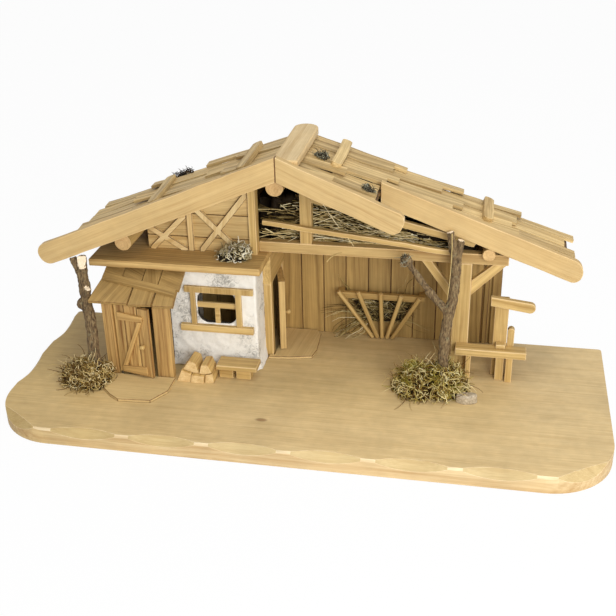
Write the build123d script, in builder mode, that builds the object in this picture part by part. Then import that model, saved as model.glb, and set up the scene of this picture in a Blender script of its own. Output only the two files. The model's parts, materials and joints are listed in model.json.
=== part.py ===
"""Wooden nativity stable: carved base board, plastered house, lean-to shed, hay loft and shingle roof.

Millimetres. +X is the stable's right, +Y its back, +Z up. The origin is under the middle of the base.
"""
import os
from math import atan, cos, radians, sin, tan

from build123d import *

os.makedirs("parts", exist_ok=True)

# Clearances
FIT = 0.1            # between pieces cut to meet on a slope
PIN_FIT = 0.05       # radial, door bore over its pin
LEAF_GAP = 0.6       # round a door leaf in its frame
SEAM = 0.6           # between neighbouring planks

# Base board
BASE_W = 700.0
BASE_D = 282.0
BASE_T = 20.0
FRONT_CORNER_R = 74.0
BACK_CORNER_R = 4.0
SCOOP_R = 160.0      # gouge radius of the carved edge
SCOOP_DEPTH = 6.5    # on the front edge
SIDE_SCOOP_DEPTH = 4.0
CORNER_SCOOP_R = 600.0
CORNER_SCOOP_DEPTH = 6.5
CORNER_SCOOP_TURN = radians(55.0)  # from the side edge towards the front
SCOOP_COUNT = 6

# Roof frame
RIDGE_X = -25.0
DECK_Z = 281.0       # underside of the roof boards at the ridge
DECK_T = 6.0
LEFT_PITCH = radians(22.6)
RIGHT_PITCH = radians(20.5)
LEFT_LENGTH = 285.0
RIGHT_LENGTH = 343.0
ROOF_BACK = 141.0
OVERHANG_X = 78.0    # the front overhang stops here on the right
OVERHANG_Y = 57.0    # right of it the roof starts here

# Shingles
SHINGLE_T = 3.5
SHINGLE_LAP = 14.0
DECK_SET_BACK = 6.0  # roof boards end behind the lowest shingles
# Each strip, front to back: share of the width, then where its shingles end as shares of the slope
LEFT_STRIPS = (
    (24, (0.33, 0.67, 0.995)),
    (22, (0.42, 0.70, 0.985)),
    (23, (0.29, 0.63, 1.0)),
    (22, (0.39, 0.74, 0.98)),
    (24, (0.26, 0.58, 0.99)),
    (20, (0.435, 0.715, 0.965)),
)
RIGHT_STRIPS = (
    (21, (0.32, 0.555, 0.79, 0.99)),
    (22, (0.36, 0.59, 0.765, 1.0)),
    (23, (0.33, 0.51, 0.785, 0.965)),
    (17, (0.375, 0.585, 0.80, 1.0)),
)
FRONT_STRIPS = (
    (18, (0.52, 1.0)),
    (20, (1.0,)),
    (18, (0.61, 1.0)),
)
LEFT_SHINGLE_BACK = 136.0

# Barge boards
BARGE_W = 26.2
BARGE_T = 9.0
BARGE_Y = -8.0
MITRE_X = -29.5
MITRE_Z = 304.4
LEFT_BARGE_LENGTH = 305.4
FRONT_BARGE_LENGTH = 142.8
REAR_BARGE_DROP = 1.5
REAR_BARGE_END = 300.5
BARGE_END_R = 12.0     # corners of the left board's lower end
SHORT_END_R = 10.5     # corners of the short front board's lower end
REAR_TIP_R = 16.0      # upper corner of the rear board's lower end
REAR_HEEL_R = 9.5      # its lower corner

# Ridge cap and the weights laid on the shingles
CAP_X = -20.5
CAP_W = 29.0
CAP_T = 9.0
WEIGHT_W = 12.0
WEIGHT_T = 6.0

# Purlin logs
RIDGE_LOG_X = -33.0
RIDGE_LOG_R = 10.0
LEFT_LOG_X = -216.0
RIGHT_LOG_X = 203.0
LEFT_LOG_R = 10.0
RIGHT_LOG_R = 7.2
RIGHT_LOG_Y = 49.0   # its front end stands out past the loft beam

# Rear wall
REAR_T = 6.0
REAR_BACK = 140.0
REAR_LEFT = -242.0
PLANK_START = -233.6   # the first plank, behind the shed, is wider
PLANK_PITCH = 28.84
PLANK_COUNT = 15
NARROW_PLANK = (200.6, 205.8)
END_PLANK = (210.0, 221.3)
PLANK_LAP = 3.0      # half of each plank reaches this far behind the next

# House
HOUSE_LEFT = -176.0
HOUSE_RIGHT = -65.0
HOUSE_FRONT = 24.0
PLASTER_T = 9.0
SHELF_Z = 156.0
SHELF_T = 9.0
SHELF_LEFT = -264.0
SHELF_FRONT = 6.0
SKIRT_OUT = 4.0
SKIRT_H = 14.0
WINDOW_LEFT = -139.0
WINDOW_RIGHT = -90.0
WINDOW_LOW = 80.5
WINDOW_HIGH = 123.5
WINDOW_R = 14.0
TRIM_T = 4.0
TRIM_W = 8.0

# House door, on the right side of the house
JAMB_T = 10.0
JAMB_Y = 60.0
DOOR_HEAD = 120.0
DOOR_FOOT = 24.5
DOOR_T = 8.0
HOUSE_DOOR_AJAR = radians(17.0)
PIN_R = 1.0
PIN_SEAT = 6.0
PIN_BORE = 7.0

# Shed
SHED_LEFT = -246.0
SHED_RIGHT = -163.0
SHED_FRONT = -14.0
SHED_POST_D = 10.0
LEFT_POST_W = 13.0
RIGHT_POST_W = 17.0
SHED_HEAD = 119.0
SHED_LINTEL_H = 9.0
SHED_PITCH = radians(25.0)
SHED_EAVE_Y = -26.0
SHED_EAVE_Z = 122.5
SHED_BOARD_T = 4.0
SHED_LATH_W = 9.0
SHED_LATH_T = 5.5
SHED_DOOR_T = 5.0
SHED_DOOR_SEAMS = (13.5, 32.0)
SHED_BRACE_T = 3.0
BRACE_INSET = 5.0    # from the hinge line, clear of the post when open
SHED_DOOR_AJAR = radians(14.0)

# Gable and loft
GABLE_Y = 50.0
GABLE_T = 5.0
GABLE_LEFT = -203.0
GABLE_SEAMS = (182.5, 212.0, 241.0)  # heights of the joints between the boards
POST_RIGHT = -67.0
POST_W = 9.0
STRIP_W = 7.0
STRIP_T = 4.0
BEAM_Y = 57.0
BEAM_D = 12.0
BEAM_H = 13.0
BEAM_RIGHT = 226.0
LOFT_FLOOR_T = 5.0
LOFT_POST_LEFT = -17.0
LOFT_POST_W = 14.0
RAFTER_H = 8.0
RAFTER_T = 7.0
RAFTER_RIGHT = 190.0
RAIL_H = 6.0

# Right bay
RIGHT_POST_LEFT = 165.0
RIGHT_POST_W = 20.0

# Twig trees
LEFT_TRUNK_R = 6.6
RIGHT_TRUNK_R = 6.0
MOSS_GAP = 2.2       # round a trunk

# Hay rack, knobs, doorsteps
RACK_STICK_R = 2.6
KNOB_R = 3.0
STEP_T = 3.5

FLOOR = BASE_T
REAR_FRONT = REAR_BACK - REAR_T
SHELF_TOP = SHELF_Z + SHELF_T
BEAM_TOP = SHELF_TOP + BEAM_H
SHELF_RIGHT = HOUSE_RIGHT + JAMB_T
POST_LEFT = POST_RIGHT - POST_W
DOOR_BACK = REAR_FRONT - JAMB_T
DOOR_FRONT = JAMB_Y + JAMB_T
BARGE_BACK = BARGE_Y + BARGE_T
REAR_BARGE_Y = OVERHANG_Y - BARGE_T


def block(x0, x1, y0, y1, z0, z1, mode=Mode.ADD):
    """A box between two corners."""
    with Locations(((x0 + x1) / 2, (y0 + y1) / 2, (z0 + z1) / 2)):
        Box(x1 - x0, y1 - y0, z1 - z0, mode=mode)


def slab(plane, points, depth, mode=Mode.ADD):
    """A straight-sided outline on a plane, given its thickness."""
    with BuildSketch(plane) as outline:
        with BuildLine():
            Polyline(*points, close=True)
        make_face()
    extrude(outline.sketch, amount=depth, mode=mode)


def along_y(points, y0, y1, mode=Mode.ADD):
    """A front-view outline carried from y0 back to y1."""
    slab(Plane.XZ.offset(-y1), points, y1 - y0, mode)


def along_x(points, x0, x1, mode=Mode.ADD):
    """A side-view outline carried from x0 across to x1."""
    slab(Plane.YZ.offset(x0), points, x1 - x0, mode)


def flat(points, z0, z1, mode=Mode.ADD):
    """A plan outline carried from z0 up to z1."""
    slab(Plane.XY.offset(z0), points, z1 - z0, mode)


def rod(start, end, radius, mode=Mode.ADD):
    """A round stick between two points."""
    line = Vector(*end) - Vector(*start)
    with BuildSketch(Plane(origin=start, z_dir=line)) as end_face:
        Circle(radius)
    extrude(end_face.sketch, amount=line.length, mode=mode)


def dome(x, y, z, radius, height):
    """A ball sunk so far that a cap of this radius and height stands above z."""
    ball = (radius * radius + height * height) / (2 * height)
    with Locations((x, y, z + height - ball)):
        Sphere(ball)


def under_roof(x):
    """Height of the underside of the roof boards."""
    if x < RIDGE_X:
        return DECK_Z - tan(LEFT_PITCH) * (RIDGE_X - x)
    return DECK_Z - tan(RIGHT_PITCH) * (x - RIDGE_X)


def roof_top(x0, x1):
    """Top corners, right to left, of a piece that reaches up to the roof boards."""
    corners = [(x1, under_roof(x1) - FIT)]
    if x0 < RIDGE_X < x1:
        corners.append((RIDGE_X, DECK_Z - FIT))
    corners.append((x0, under_roof(x0) - FIT))
    return corners


def on_slope(side, down, lift):
    """Front-view point: distance down the slope from the ridge and height off the boards' underside."""
    pitch = LEFT_PITCH if side < 0 else RIGHT_PITCH
    x = RIDGE_X + side * (down * cos(pitch) + lift * sin(pitch))
    z = DECK_Z - down * sin(pitch) + lift * cos(pitch)
    return (x, z)


def strips(shares, length, y0, y1):
    """Front edge, back edge and shingle ends in millimetres of each strip on a slope."""
    scale = (y1 - y0) / sum(share for share, ends in shares)
    laid = []
    front = y0
    for share, ends in shares:
        back = front + share * scale
        laid.append((front + FIT, back - SEAM, [end * length for end in ends]))
        front = back
    return laid


def shingle_run(ends):
    """Head, lower end and slope of each shingle in a strip; heads lie on the boards, ends on the next shingle."""
    run = []
    slope = 0.0
    for i in reversed(range(len(ends))):
        head = ends[i - 1] - SHINGLE_LAP if i else 0.0
        length = ends[i] - head
        if i < len(ends) - 1:
            seat = SHINGLE_T + slope * SHINGLE_LAP
            slope = max(seat / length, SHINGLE_T / (length - SHINGLE_LAP)) + FIT / length
        run.append((head, ends[i], slope))
    return run


def lay_shingles(side, laid):
    """All shingles of the strips on one slope."""
    for y0, y1, ends in laid:
        for head, end, slope in shingle_run(ends):
            low = DECK_T + FIT
            high = low + slope * (end - head)
            along_y(
                [
                    on_slope(side, head, low),
                    on_slope(side, end, high),
                    on_slope(side, end, high + SHINGLE_T),
                    on_slope(side, head, low + SHINGLE_T),
                ],
                y0,
                y1,
            )


def shingle_top(laid, y0, y1, down0, down1):
    """Greatest height of the shingles in a patch of roof, off the boards' underside."""
    tops = []
    for front, back, ends in laid:
        if front < y1 and back > y0:
            for head, end, slope in shingle_run(ends):
                if head < down1 and end > down0:
                    tops.append(DECK_T + FIT + slope * (min(end, down1) - head) + SHINGLE_T)
    return max(tops)


def on_shingles(side, laid, down, y, length, width, turn=0.0):
    """Plane resting on the shingles, its x axis to the back, turned by an angle in degrees."""
    pitch = LEFT_PITCH if side < 0 else RIGHT_PITCH
    lean = radians(turn)
    half = width / 2 + abs(sin(lean)) * length / 2
    lift = shingle_top(laid, y - length / 2, y + length / 2, down - half, down + half) + FIT
    x, z = on_slope(side, down, lift)
    return Plane(
        origin=(x, y, z),
        x_dir=(-sin(lean) * cos(pitch), cos(lean), side * sin(lean) * sin(pitch)),
        z_dir=(side * sin(pitch), 0, cos(pitch)),
    )


# Base board with gouged front and side edges
HALF_W = BASE_W / 2
HALF_D = BASE_D / 2
with BuildPart() as base_board:
    with BuildSketch() as base_outline:
        Rectangle(BASE_W, BASE_D)
        fillet(base_outline.vertices().group_by(Axis.Y)[0], FRONT_CORNER_R)
        fillet(base_outline.vertices().group_by(Axis.Y)[-1], BACK_CORNER_R)
    extrude(amount=BASE_T)
    front_run = BASE_W - 2 * FRONT_CORNER_R
    side_run = BASE_D - FRONT_CORNER_R
    diagonal = sin(radians(45))
    scoops = []
    for i in range(SCOOP_COUNT):
        scoop_x = -front_run / 2 + (i + 0.5) * front_run / SCOOP_COUNT
        scoops.append((scoop_x, -HALF_D, 0.0, -1.0, SCOOP_R, SCOOP_DEPTH))
    out_x = cos(CORNER_SCOOP_TURN)
    out_y = -sin(CORNER_SCOOP_TURN)
    corner_y = -HALF_D + FRONT_CORNER_R * (1 + out_y)
    for side in (-1, 1):
        corner_x = side * (HALF_W - FRONT_CORNER_R * (1 - out_x))
        scoops.append((corner_x, corner_y, side * out_x, out_y, CORNER_SCOOP_R, CORNER_SCOOP_DEPTH))
    for i in range(2):
        scoops.append((-HALF_W, HALF_D - (i + 0.5) * side_run / 2, -1.0, 0.0, SCOOP_R, SIDE_SCOOP_DEPTH))
    for x, y, to_x, to_y, gouge, deep in scoops:
        reach = diagonal * (gouge - deep)
        with Locations(Plane(origin=(x + to_x * reach, y + to_y * reach, BASE_T + reach), z_dir=(-to_x, -to_y, 1))):
            Cylinder(gouge, 90, mode=Mode.SUBTRACT)
    HOUSE_PIVOT = (HOUSE_RIGHT + JAMB_T - DOOR_T / 2, DOOR_BACK - LEAF_GAP - DOOR_T / 2)
    SHED_PIVOT = (SHED_LEFT + LEFT_POST_W + LEAF_GAP + SHED_DOOR_T / 2, SHED_FRONT + 2 + SHED_DOOR_T / 2)
    for pivot in (HOUSE_PIVOT, SHED_PIVOT):
        with Locations((pivot[0], pivot[1], BASE_T - PIN_SEAT / 2)):
            Cylinder(PIN_R + PIN_FIT / 2, PIN_SEAT, mode=Mode.SUBTRACT)

# Two thin doorsteps
SHED_STEP = [(-240, -50), (-226, -64), (-213, -73), (-174, -70), (-160, -46), (-160, -16), (-240, -16)]
HOUSE_STEP = [(-60, 52.5), (-33, 55.5), (-6, 62), (-3, 78), (-5, 121), (-12, 132), (-54, 132), (-54, 59.4), (-60, 59.4)]
with BuildPart() as door_steps:
    flat(SHED_STEP, FLOOR, FLOOR + STEP_T)
    flat(HOUSE_STEP, FLOOR, FLOOR + STEP_T)

# Rear wall of upright half-lapped planks, cut to the roof
with BuildPart() as rear_wall_planks:
    edges = []
    for i in range(PLANK_COUNT):
        left = PLANK_START + i * PLANK_PITCH if i else REAR_LEFT
        edges.append((left, PLANK_START + (i + 1) * PLANK_PITCH - SEAM))
    edges.append(NARROW_PLANK)
    edges.append(END_PLANK)
    middle = (REAR_FRONT + REAR_BACK) / 2
    for i, (left, right) in enumerate(edges):
        along_y([(left, FLOOR), (right, FLOOR)] + roof_top(left, right), REAR_FRONT, middle)
        back_left = left + PLANK_LAP if i else left
        along_y([(back_left, FLOOR), (right, FLOOR)] + roof_top(back_left, right), middle, REAR_BACK)
        if i + 1 < len(edges):
            tongue = edges[i + 1][0] + PLANK_LAP - SEAM
            along_y([(right, FLOOR), (tongue, FLOOR)] + roof_top(right, tongue), middle + FIT, REAR_BACK)

# Plastered house walls
with BuildPart() as house_front_wall:
    block(HOUSE_LEFT, HOUSE_RIGHT, HOUSE_FRONT, HOUSE_FRONT + PLASTER_T, FLOOR, SHELF_Z)
    along_x(
        [(HOUSE_FRONT, FLOOR), (HOUSE_FRONT - SKIRT_OUT, FLOOR), (HOUSE_FRONT, FLOOR + SKIRT_H)],
        HOUSE_LEFT,
        HOUSE_RIGHT,
    )
    with BuildSketch(Plane.XZ.offset(-HOUSE_FRONT - PLASTER_T)) as window_hole:
        with Locations(((WINDOW_LEFT + WINDOW_RIGHT) / 2, (WINDOW_LOW + WINDOW_HIGH) / 2)):
            RectangleRounded(WINDOW_RIGHT - WINDOW_LEFT, WINDOW_HIGH - WINDOW_LOW, WINDOW_R)
    extrude(amount=PLASTER_T, mode=Mode.SUBTRACT)

with BuildPart() as house_side_wall:
    block(HOUSE_RIGHT - PLASTER_T, HOUSE_RIGHT, HOUSE_FRONT + PLASTER_T, DOOR_FRONT, FLOOR, SHELF_Z)
    along_y(
        [(HOUSE_RIGHT, FLOOR), (HOUSE_RIGHT + SKIRT_OUT, FLOOR), (HOUSE_RIGHT, FLOOR + SKIRT_H)],
        HOUSE_FRONT,
        JAMB_Y,
    )

with BuildPart() as house_left_wall:
    block(HOUSE_LEFT, HOUSE_LEFT + PLASTER_T, HOUSE_FRONT + PLASTER_T, REAR_FRONT, FLOOR, SHELF_Z)

# Door frame in the right side of the house
with BuildPart() as door_jambs:
    block(HOUSE_RIGHT, SHELF_RIGHT, JAMB_Y, DOOR_FRONT, FLOOR, DOOR_HEAD)
    block(HOUSE_RIGHT, SHELF_RIGHT, DOOR_BACK, REAR_FRONT, FLOOR, DOOR_HEAD)

with BuildPart() as door_lintel:
    block(HOUSE_RIGHT, SHELF_RIGHT, JAMB_Y, REAR_FRONT, DOOR_HEAD, SHELF_Z)
    with Locations((HOUSE_PIVOT[0], HOUSE_PIVOT[1], DOOR_HEAD + PIN_SEAT / 2)):
        Cylinder(PIN_R + PIN_FIT / 2, PIN_SEAT, mode=Mode.SUBTRACT)

# House door, drawn from its pivot: x to the free edge, y outward
HOUSE_DOOR_TOP = DOOR_HEAD - LEAF_GAP
HOUSE_DOOR_REACH = HOUSE_PIVOT[1] - DOOR_FRONT - LEAF_GAP
HOUSE_DOOR_PLANE = Plane(
    origin=(HOUSE_PIVOT[0], HOUSE_PIVOT[1], 0),
    x_dir=(sin(HOUSE_DOOR_AJAR), -cos(HOUSE_DOOR_AJAR), 0),
    z_dir=(0, 0, 1),
)
with BuildPart(HOUSE_DOOR_PLANE) as house_door_leaf:
    block(0, HOUSE_DOOR_REACH, -DOOR_T / 2, DOOR_T / 2, DOOR_FOOT, HOUSE_DOOR_TOP)
    with Locations((0, 0, (DOOR_FOOT + HOUSE_DOOR_TOP) / 2)):
        Cylinder(DOOR_T / 2, HOUSE_DOOR_TOP - DOOR_FOOT)
    for x in (HOUSE_DOOR_REACH / 3, HOUSE_DOOR_REACH * 2 / 3):
        block(x - 0.5, x + 0.5, DOOR_T / 2 - 1, DOOR_T / 2 + 1, DOOR_FOOT, HOUSE_DOOR_TOP, Mode.SUBTRACT)
    for z in (DOOR_FOOT + PIN_BORE / 2, HOUSE_DOOR_TOP - PIN_BORE / 2):
        with Locations((0, 0, z)):
            Cylinder(PIN_R + PIN_FIT, PIN_BORE, mode=Mode.SUBTRACT)

with BuildPart(HOUSE_DOOR_PLANE) as house_door_knob:
    KNOB_X = HOUSE_DOOR_REACH - 6
    with Locations((KNOB_X, DOOR_T / 2 + KNOB_R + 1, 74)):
        Sphere(KNOB_R)
    with Locations(Location((KNOB_X, DOOR_T / 2 + 1, 74), (90, 0, 0))):
        Cylinder(KNOB_R / 2, 2)

# Shed: posts, lintel, left wall
with BuildPart() as shed_posts:
    back = SHED_FRONT + SHED_POST_D
    block(SHED_LEFT, SHED_LEFT + LEFT_POST_W, SHED_FRONT, back, FLOOR, SHED_HEAD)
    block(SHED_RIGHT - RIGHT_POST_W, SHED_RIGHT, SHED_FRONT, back, FLOOR, SHED_HEAD)

with BuildPart() as shed_lintel:
    block(SHED_LEFT, SHED_RIGHT, SHED_FRONT, SHED_FRONT + SHED_POST_D, SHED_HEAD, SHED_HEAD + SHED_LINTEL_H)
    with Locations((SHED_PIVOT[0], SHED_PIVOT[1], SHED_HEAD + PIN_SEAT / 2)):
        Cylinder(PIN_R + PIN_FIT / 2, PIN_SEAT, mode=Mode.SUBTRACT)


def under_shed(y):
    """Height of the underside of the shed roof."""
    return SHED_EAVE_Z + tan(SHED_PITCH) * (y - SHED_EAVE_Y) - FIT


with BuildPart() as shed_left_wall:
    back = SHED_FRONT + SHED_POST_D
    along_x(
        [
            (back, FLOOR),
            (REAR_FRONT, FLOOR),
            (REAR_FRONT, SHELF_Z),
            (HOUSE_FRONT, SHELF_Z),
            (HOUSE_FRONT, under_shed(HOUSE_FRONT)),
            (back, under_shed(back)),
        ],
        SHED_LEFT,
        SHED_LEFT + 6,
    )

# Shed roof, two courses of boards; the upper course ends on a slant, against a lath
SHED_ROOF = Plane(
    origin=(0, SHED_EAVE_Y, SHED_EAVE_Z),
    x_dir=(1, 0, 0),
    z_dir=(0, -sin(SHED_PITCH), cos(SHED_PITCH)),
)
SHED_RUN = (HOUSE_FRONT - SHED_EAVE_Y) / cos(SHED_PITCH) - FIT
SHED_UPPER = SHED_ROOF.offset(SHED_BOARD_T + FIT / 2)


def upper_end(x):
    """How far up the shed roof the upper boards end."""
    return 41.5 - (x + 247) * 0.2


with BuildPart() as shed_roof_lower:
    for left, high_left, right, high_right, low in (
        (-255.5, -246, -207, -207, 0.0),
        (-206.4, -206.4, -177.5, -177.5, -3.5),
        (-176.9, -176.9, -150, -154, -2.0),
    ):
        slab(SHED_ROOF, [(left, low), (right, low), (high_right, SHED_RUN), (high_left, SHED_RUN)], SHED_BOARD_T)

with BuildPart() as shed_roof_upper:
    for left, right in ((-247, -222.9), (-222.3, -197), (-196.4, -176), (-175.4, -149)):
        slab(
            SHED_UPPER,
            [(left, upper_end(left)), (right, upper_end(right)), (right, SHED_RUN), (left, SHED_RUN)],
            SHED_BOARD_T,
        )

with BuildPart() as shed_roof_lath:
    left = -246.5
    right = -152
    top_left = upper_end(left) - FIT
    top_right = upper_end(right) - FIT
    slab(
        SHED_UPPER,
        [(left, top_left - SHED_LATH_W), (right, top_right - SHED_LATH_W), (right, top_right), (left, top_left)],
        SHED_LATH_T,
    )

# Shed door, drawn from its pivot: x to the free edge, y inward
SHED_DOOR_TOP = SHED_HEAD - LEAF_GAP
SHED_DOOR_REACH = SHED_RIGHT - RIGHT_POST_W - LEAF_GAP - SHED_PIVOT[0]
SHED_DOOR_PLANE = Plane(
    origin=(SHED_PIVOT[0], SHED_PIVOT[1], 0),
    x_dir=(cos(SHED_DOOR_AJAR), -sin(SHED_DOOR_AJAR), 0),
    z_dir=(0, 0, 1),
)
with BuildPart(SHED_DOOR_PLANE) as shed_door_planks:
    half = SHED_DOOR_T / 2
    first, second = SHED_DOOR_SEAMS
    block(0, first - SEAM, -half, half, DOOR_FOOT, SHED_DOOR_TOP)
    with Locations((0, 0, (DOOR_FOOT + SHED_DOOR_TOP) / 2)):
        Cylinder(half, SHED_DOOR_TOP - DOOR_FOOT)
    block(first, second - SEAM, -half, half, DOOR_FOOT, SHED_DOOR_TOP)
    block(second, SHED_DOOR_REACH, -half, half, DOOR_FOOT, SHED_DOOR_TOP - 1.5)
    for z in (DOOR_FOOT + PIN_BORE / 2, SHED_DOOR_TOP - PIN_BORE / 2):
        with Locations((0, 0, z)):
            Cylinder(PIN_R + PIN_FIT, PIN_BORE, mode=Mode.SUBTRACT)

with BuildPart(SHED_DOOR_PLANE) as shed_door_braces:
    brace_face = Plane(
        origin=SHED_DOOR_PLANE.from_local_coords((0, -SHED_DOOR_T / 2, 0)),
        x_dir=SHED_DOOR_PLANE.x_dir,
        z_dir=-SHED_DOOR_PLANE.y_dir,
    )
    end = SHED_DOOR_REACH - 6.5
    top_rail = [(BRACE_INSET, 97.5), (end, 100.6), (end, 107.0), (BRACE_INSET, 108.0)]
    low_rail = [(BRACE_INSET, 27.0), (end, 27.0), (end, 39.0), (BRACE_INSET, 34.5)]
    diagonal_brace = [(6.0, 35.4), (12.0, 36.2), (38.5, 99.8), (32.5, 99.3)]
    for outline in (top_rail, low_rail, diagonal_brace):
        slab(brace_face, outline, SHED_BRACE_T)

with BuildPart(SHED_DOOR_PLANE) as shed_door_knob:
    front = -SHED_DOOR_T / 2
    knob_x = SHED_DOOR_SEAMS[1] + 5.5
    with Locations((knob_x, front - KNOB_R - 1, 67)):
        Sphere(KNOB_R)
    with Locations(Location((knob_x, front - 1, 67), (90, 0, 0))):
        Cylinder(KNOB_R / 2, 2)

# Four plain pins carry the two doors
with BuildPart() as hinge_pins:
    for pivot, head in ((HOUSE_PIVOT, DOOR_HEAD), (SHED_PIVOT, SHED_HEAD)):
        low = FLOOR - PIN_SEAT
        rod((pivot[0], pivot[1], low), (pivot[0], pivot[1], DOOR_FOOT + PIN_BORE - 1), PIN_R)
        top = head + PIN_SEAT
        rod((pivot[0], pivot[1], head - LEAF_GAP - PIN_BORE + 1), (pivot[0], pivot[1], top), PIN_R)

# Window: casing, sill and glazing bars
CASING_LEFT = WINDOW_LEFT - 7
CASING_RIGHT = WINDOW_RIGHT + 7
CASING_FRONT = HOUSE_FRONT - TRIM_T
with BuildPart() as window_casing:
    block(CASING_LEFT - 7, HOUSE_RIGHT - 3, CASING_FRONT, HOUSE_FRONT, WINDOW_HIGH - 1, WINDOW_HIGH + TRIM_W - 1)
    block(CASING_LEFT, CASING_LEFT + 6, CASING_FRONT, HOUSE_FRONT, WINDOW_LOW - 1, WINDOW_HIGH - 1)
    block(CASING_RIGHT - 7, CASING_RIGHT, CASING_FRONT, HOUSE_FRONT, WINDOW_LOW - 1, WINDOW_HIGH - 1)

with BuildPart() as window_sill:
    block(CASING_LEFT - 14, HOUSE_RIGHT - 4, CASING_FRONT - 2, HOUSE_FRONT, WINDOW_LOW - 9.5, WINDOW_LOW - 1)

with BuildPart() as window_bars:
    bar_front = HOUSE_FRONT + 1
    bar_back = bar_front + 4
    block(WINDOW_LEFT, WINDOW_RIGHT, bar_front, bar_back, 101, 108)
    middle = (WINDOW_LEFT + WINDOW_RIGHT) / 2
    block(middle - 3, middle + 3, bar_front, bar_back, WINDOW_LOW, 101)

# Shelf over house and shed
with BuildPart() as shelf_board:
    block(SHELF_LEFT, SHELF_RIGHT, SHELF_FRONT, REAR_FRONT, SHELF_Z, SHELF_TOP)

# Level gable boards, cut to the roof, and the thin strips nailed on them
with BuildPart() as gable_boards:
    gable_back = GABLE_Y + GABLE_T
    low = SHELF_TOP
    for seam in GABLE_SEAMS:
        block(GABLE_LEFT, POST_LEFT, GABLE_Y, gable_back, low, seam - SEAM)
        low = seam
    block(GABLE_LEFT, POST_LEFT, GABLE_Y, gable_back, low, DECK_Z)
    above = [(POST_LEFT, 2 * DECK_Z), (GABLE_LEFT, 2 * DECK_Z)]
    along_y(above + roof_top(GABLE_LEFT, POST_LEFT)[::-1], GABLE_Y, gable_back, Mode.SUBTRACT)


def strip(x0, z0, x1, z1):
    """A thin strip in the gable, with upright cut ends."""
    half = STRIP_W / 2 * ((x1 - x0) ** 2 + (z1 - z0) ** 2) ** 0.5 / abs(x1 - x0)
    along_y(
        [(x0, z0 - half), (x1, z1 - half), (x1, z1 + half), (x0, z0 + half)],
        GABLE_Y - STRIP_T,
        GABLE_Y,
    )


with BuildPart() as gable_strips:
    strip(-202, 195, -152, 163.7)
    strip(-199, 163.5, -152, 212)
    block(-151.5, -144.5, GABLE_Y - STRIP_T, GABLE_Y, SHELF_TOP, 222)
    strip(-144, 223, -87, 166)
    strip(-137, 164, -77, 241)
    block(-210, -60, GABLE_Y - 2 * STRIP_T, GABLE_Y + STRIP_T, SHELF_TOP - 20, SHELF_TOP, Mode.SUBTRACT)

# Posts of the gable and the loft
with BuildPart() as upper_posts:
    post_top = roof_top(POST_LEFT, POST_RIGHT)
    along_y([(POST_LEFT, SHELF_TOP), (POST_RIGHT, SHELF_TOP)] + post_top, GABLE_Y - 4, BEAM_Y + 3)
    left = LOFT_POST_LEFT
    right = left + LOFT_POST_W
    along_y([(left, BEAM_TOP), (right, BEAM_TOP)] + roof_top(left, right), BEAM_Y, BEAM_Y + BEAM_D)

# Loft front beam, notched for the right purlin
REAR_BARGE_X = OVERHANG_X + 1
REAR_BARGE_Z = MITRE_Z - REAR_BARGE_DROP - tan(RIGHT_PITCH) * (REAR_BARGE_X - MITRE_X)


def under_rear_barge(x):
    """Height of the lower edge of the right rear barge board."""
    return REAR_BARGE_Z - tan(RIGHT_PITCH) * (x - REAR_BARGE_X) - BARGE_W / cos(RIGHT_PITCH)


RIGHT_LOG_Z = under_rear_barge(RIGHT_LOG_X) - RIGHT_LOG_R / cos(RIGHT_PITCH) - FIT
LEFT_LOG_Z = under_roof(LEFT_LOG_X) - LEFT_LOG_R / cos(LEFT_PITCH) - FIT
RIDGE_LOG_Z = under_roof(RIDGE_LOG_X) - RIDGE_LOG_R / cos(LEFT_PITCH) - FIT
with BuildPart() as loft_beam:
    block(POST_RIGHT, BEAM_RIGHT, BEAM_Y, BEAM_Y + BEAM_D, SHELF_TOP, BEAM_TOP)
    saddle = RIGHT_LOG_R + FIT
    rod((RIGHT_LOG_X, 40, RIGHT_LOG_Z), (RIGHT_LOG_X, 90, RIGHT_LOG_Z), saddle, Mode.SUBTRACT)

with BuildPart() as loft_floor:
    block(
        SHELF_RIGHT, BEAM_RIGHT - 8, BEAM_Y + BEAM_D, REAR_FRONT, SHELF_TOP - LOFT_FLOOR_T, SHELF_TOP
    )

with BuildPart() as loft_rail:
    rail_half = RAIL_H / 2
    along_y(
        [(-61, 205 - rail_half), (165, 179 - rail_half), (165, 179 + rail_half), (-61, 205 + rail_half)],
        BEAM_Y - 6,
        BEAM_Y,
    )

# Slanting stick from the loft post to the back of the rear barge board
with BuildPart() as loft_rafter:
    left = LOFT_POST_LEFT + LOFT_POST_W
    right_top = under_rear_barge(RAFTER_RIGHT) + 1
    left_top = right_top + 0.229 * (RAFTER_RIGHT - left)
    along_y(
        [
            (left, left_top - RAFTER_H),
            (RAFTER_RIGHT - 5, right_top - RAFTER_H),
            (RAFTER_RIGHT, right_top),
            (left, left_top),
        ],
        BEAM_Y,
        BEAM_Y + RAFTER_T,
    )

with BuildPart() as loft_straw:
    along_y(
        [(-54, 165.2), (186, 165.2), (186, 178), (120, 198), (40, 222), (-14, 236), (-54, 228)],
        BEAM_Y + BEAM_D + 1,
        REAR_FRONT - 0.5,
    )

# Purlin logs
with BuildPart() as ridge_purlin:
    front = BARGE_BACK + FIT
    rod((RIDGE_LOG_X, front, RIDGE_LOG_Z), (RIDGE_LOG_X, REAR_FRONT, RIDGE_LOG_Z), RIDGE_LOG_R)

with BuildPart() as side_purlins:
    front = BARGE_BACK + FIT
    rod((LEFT_LOG_X, front, LEFT_LOG_Z), (LEFT_LOG_X, REAR_FRONT, LEFT_LOG_Z), LEFT_LOG_R)
    rod((RIGHT_LOG_X, RIGHT_LOG_Y, RIGHT_LOG_Z), (RIGHT_LOG_X, REAR_FRONT, RIGHT_LOG_Z), RIGHT_LOG_R)

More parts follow.
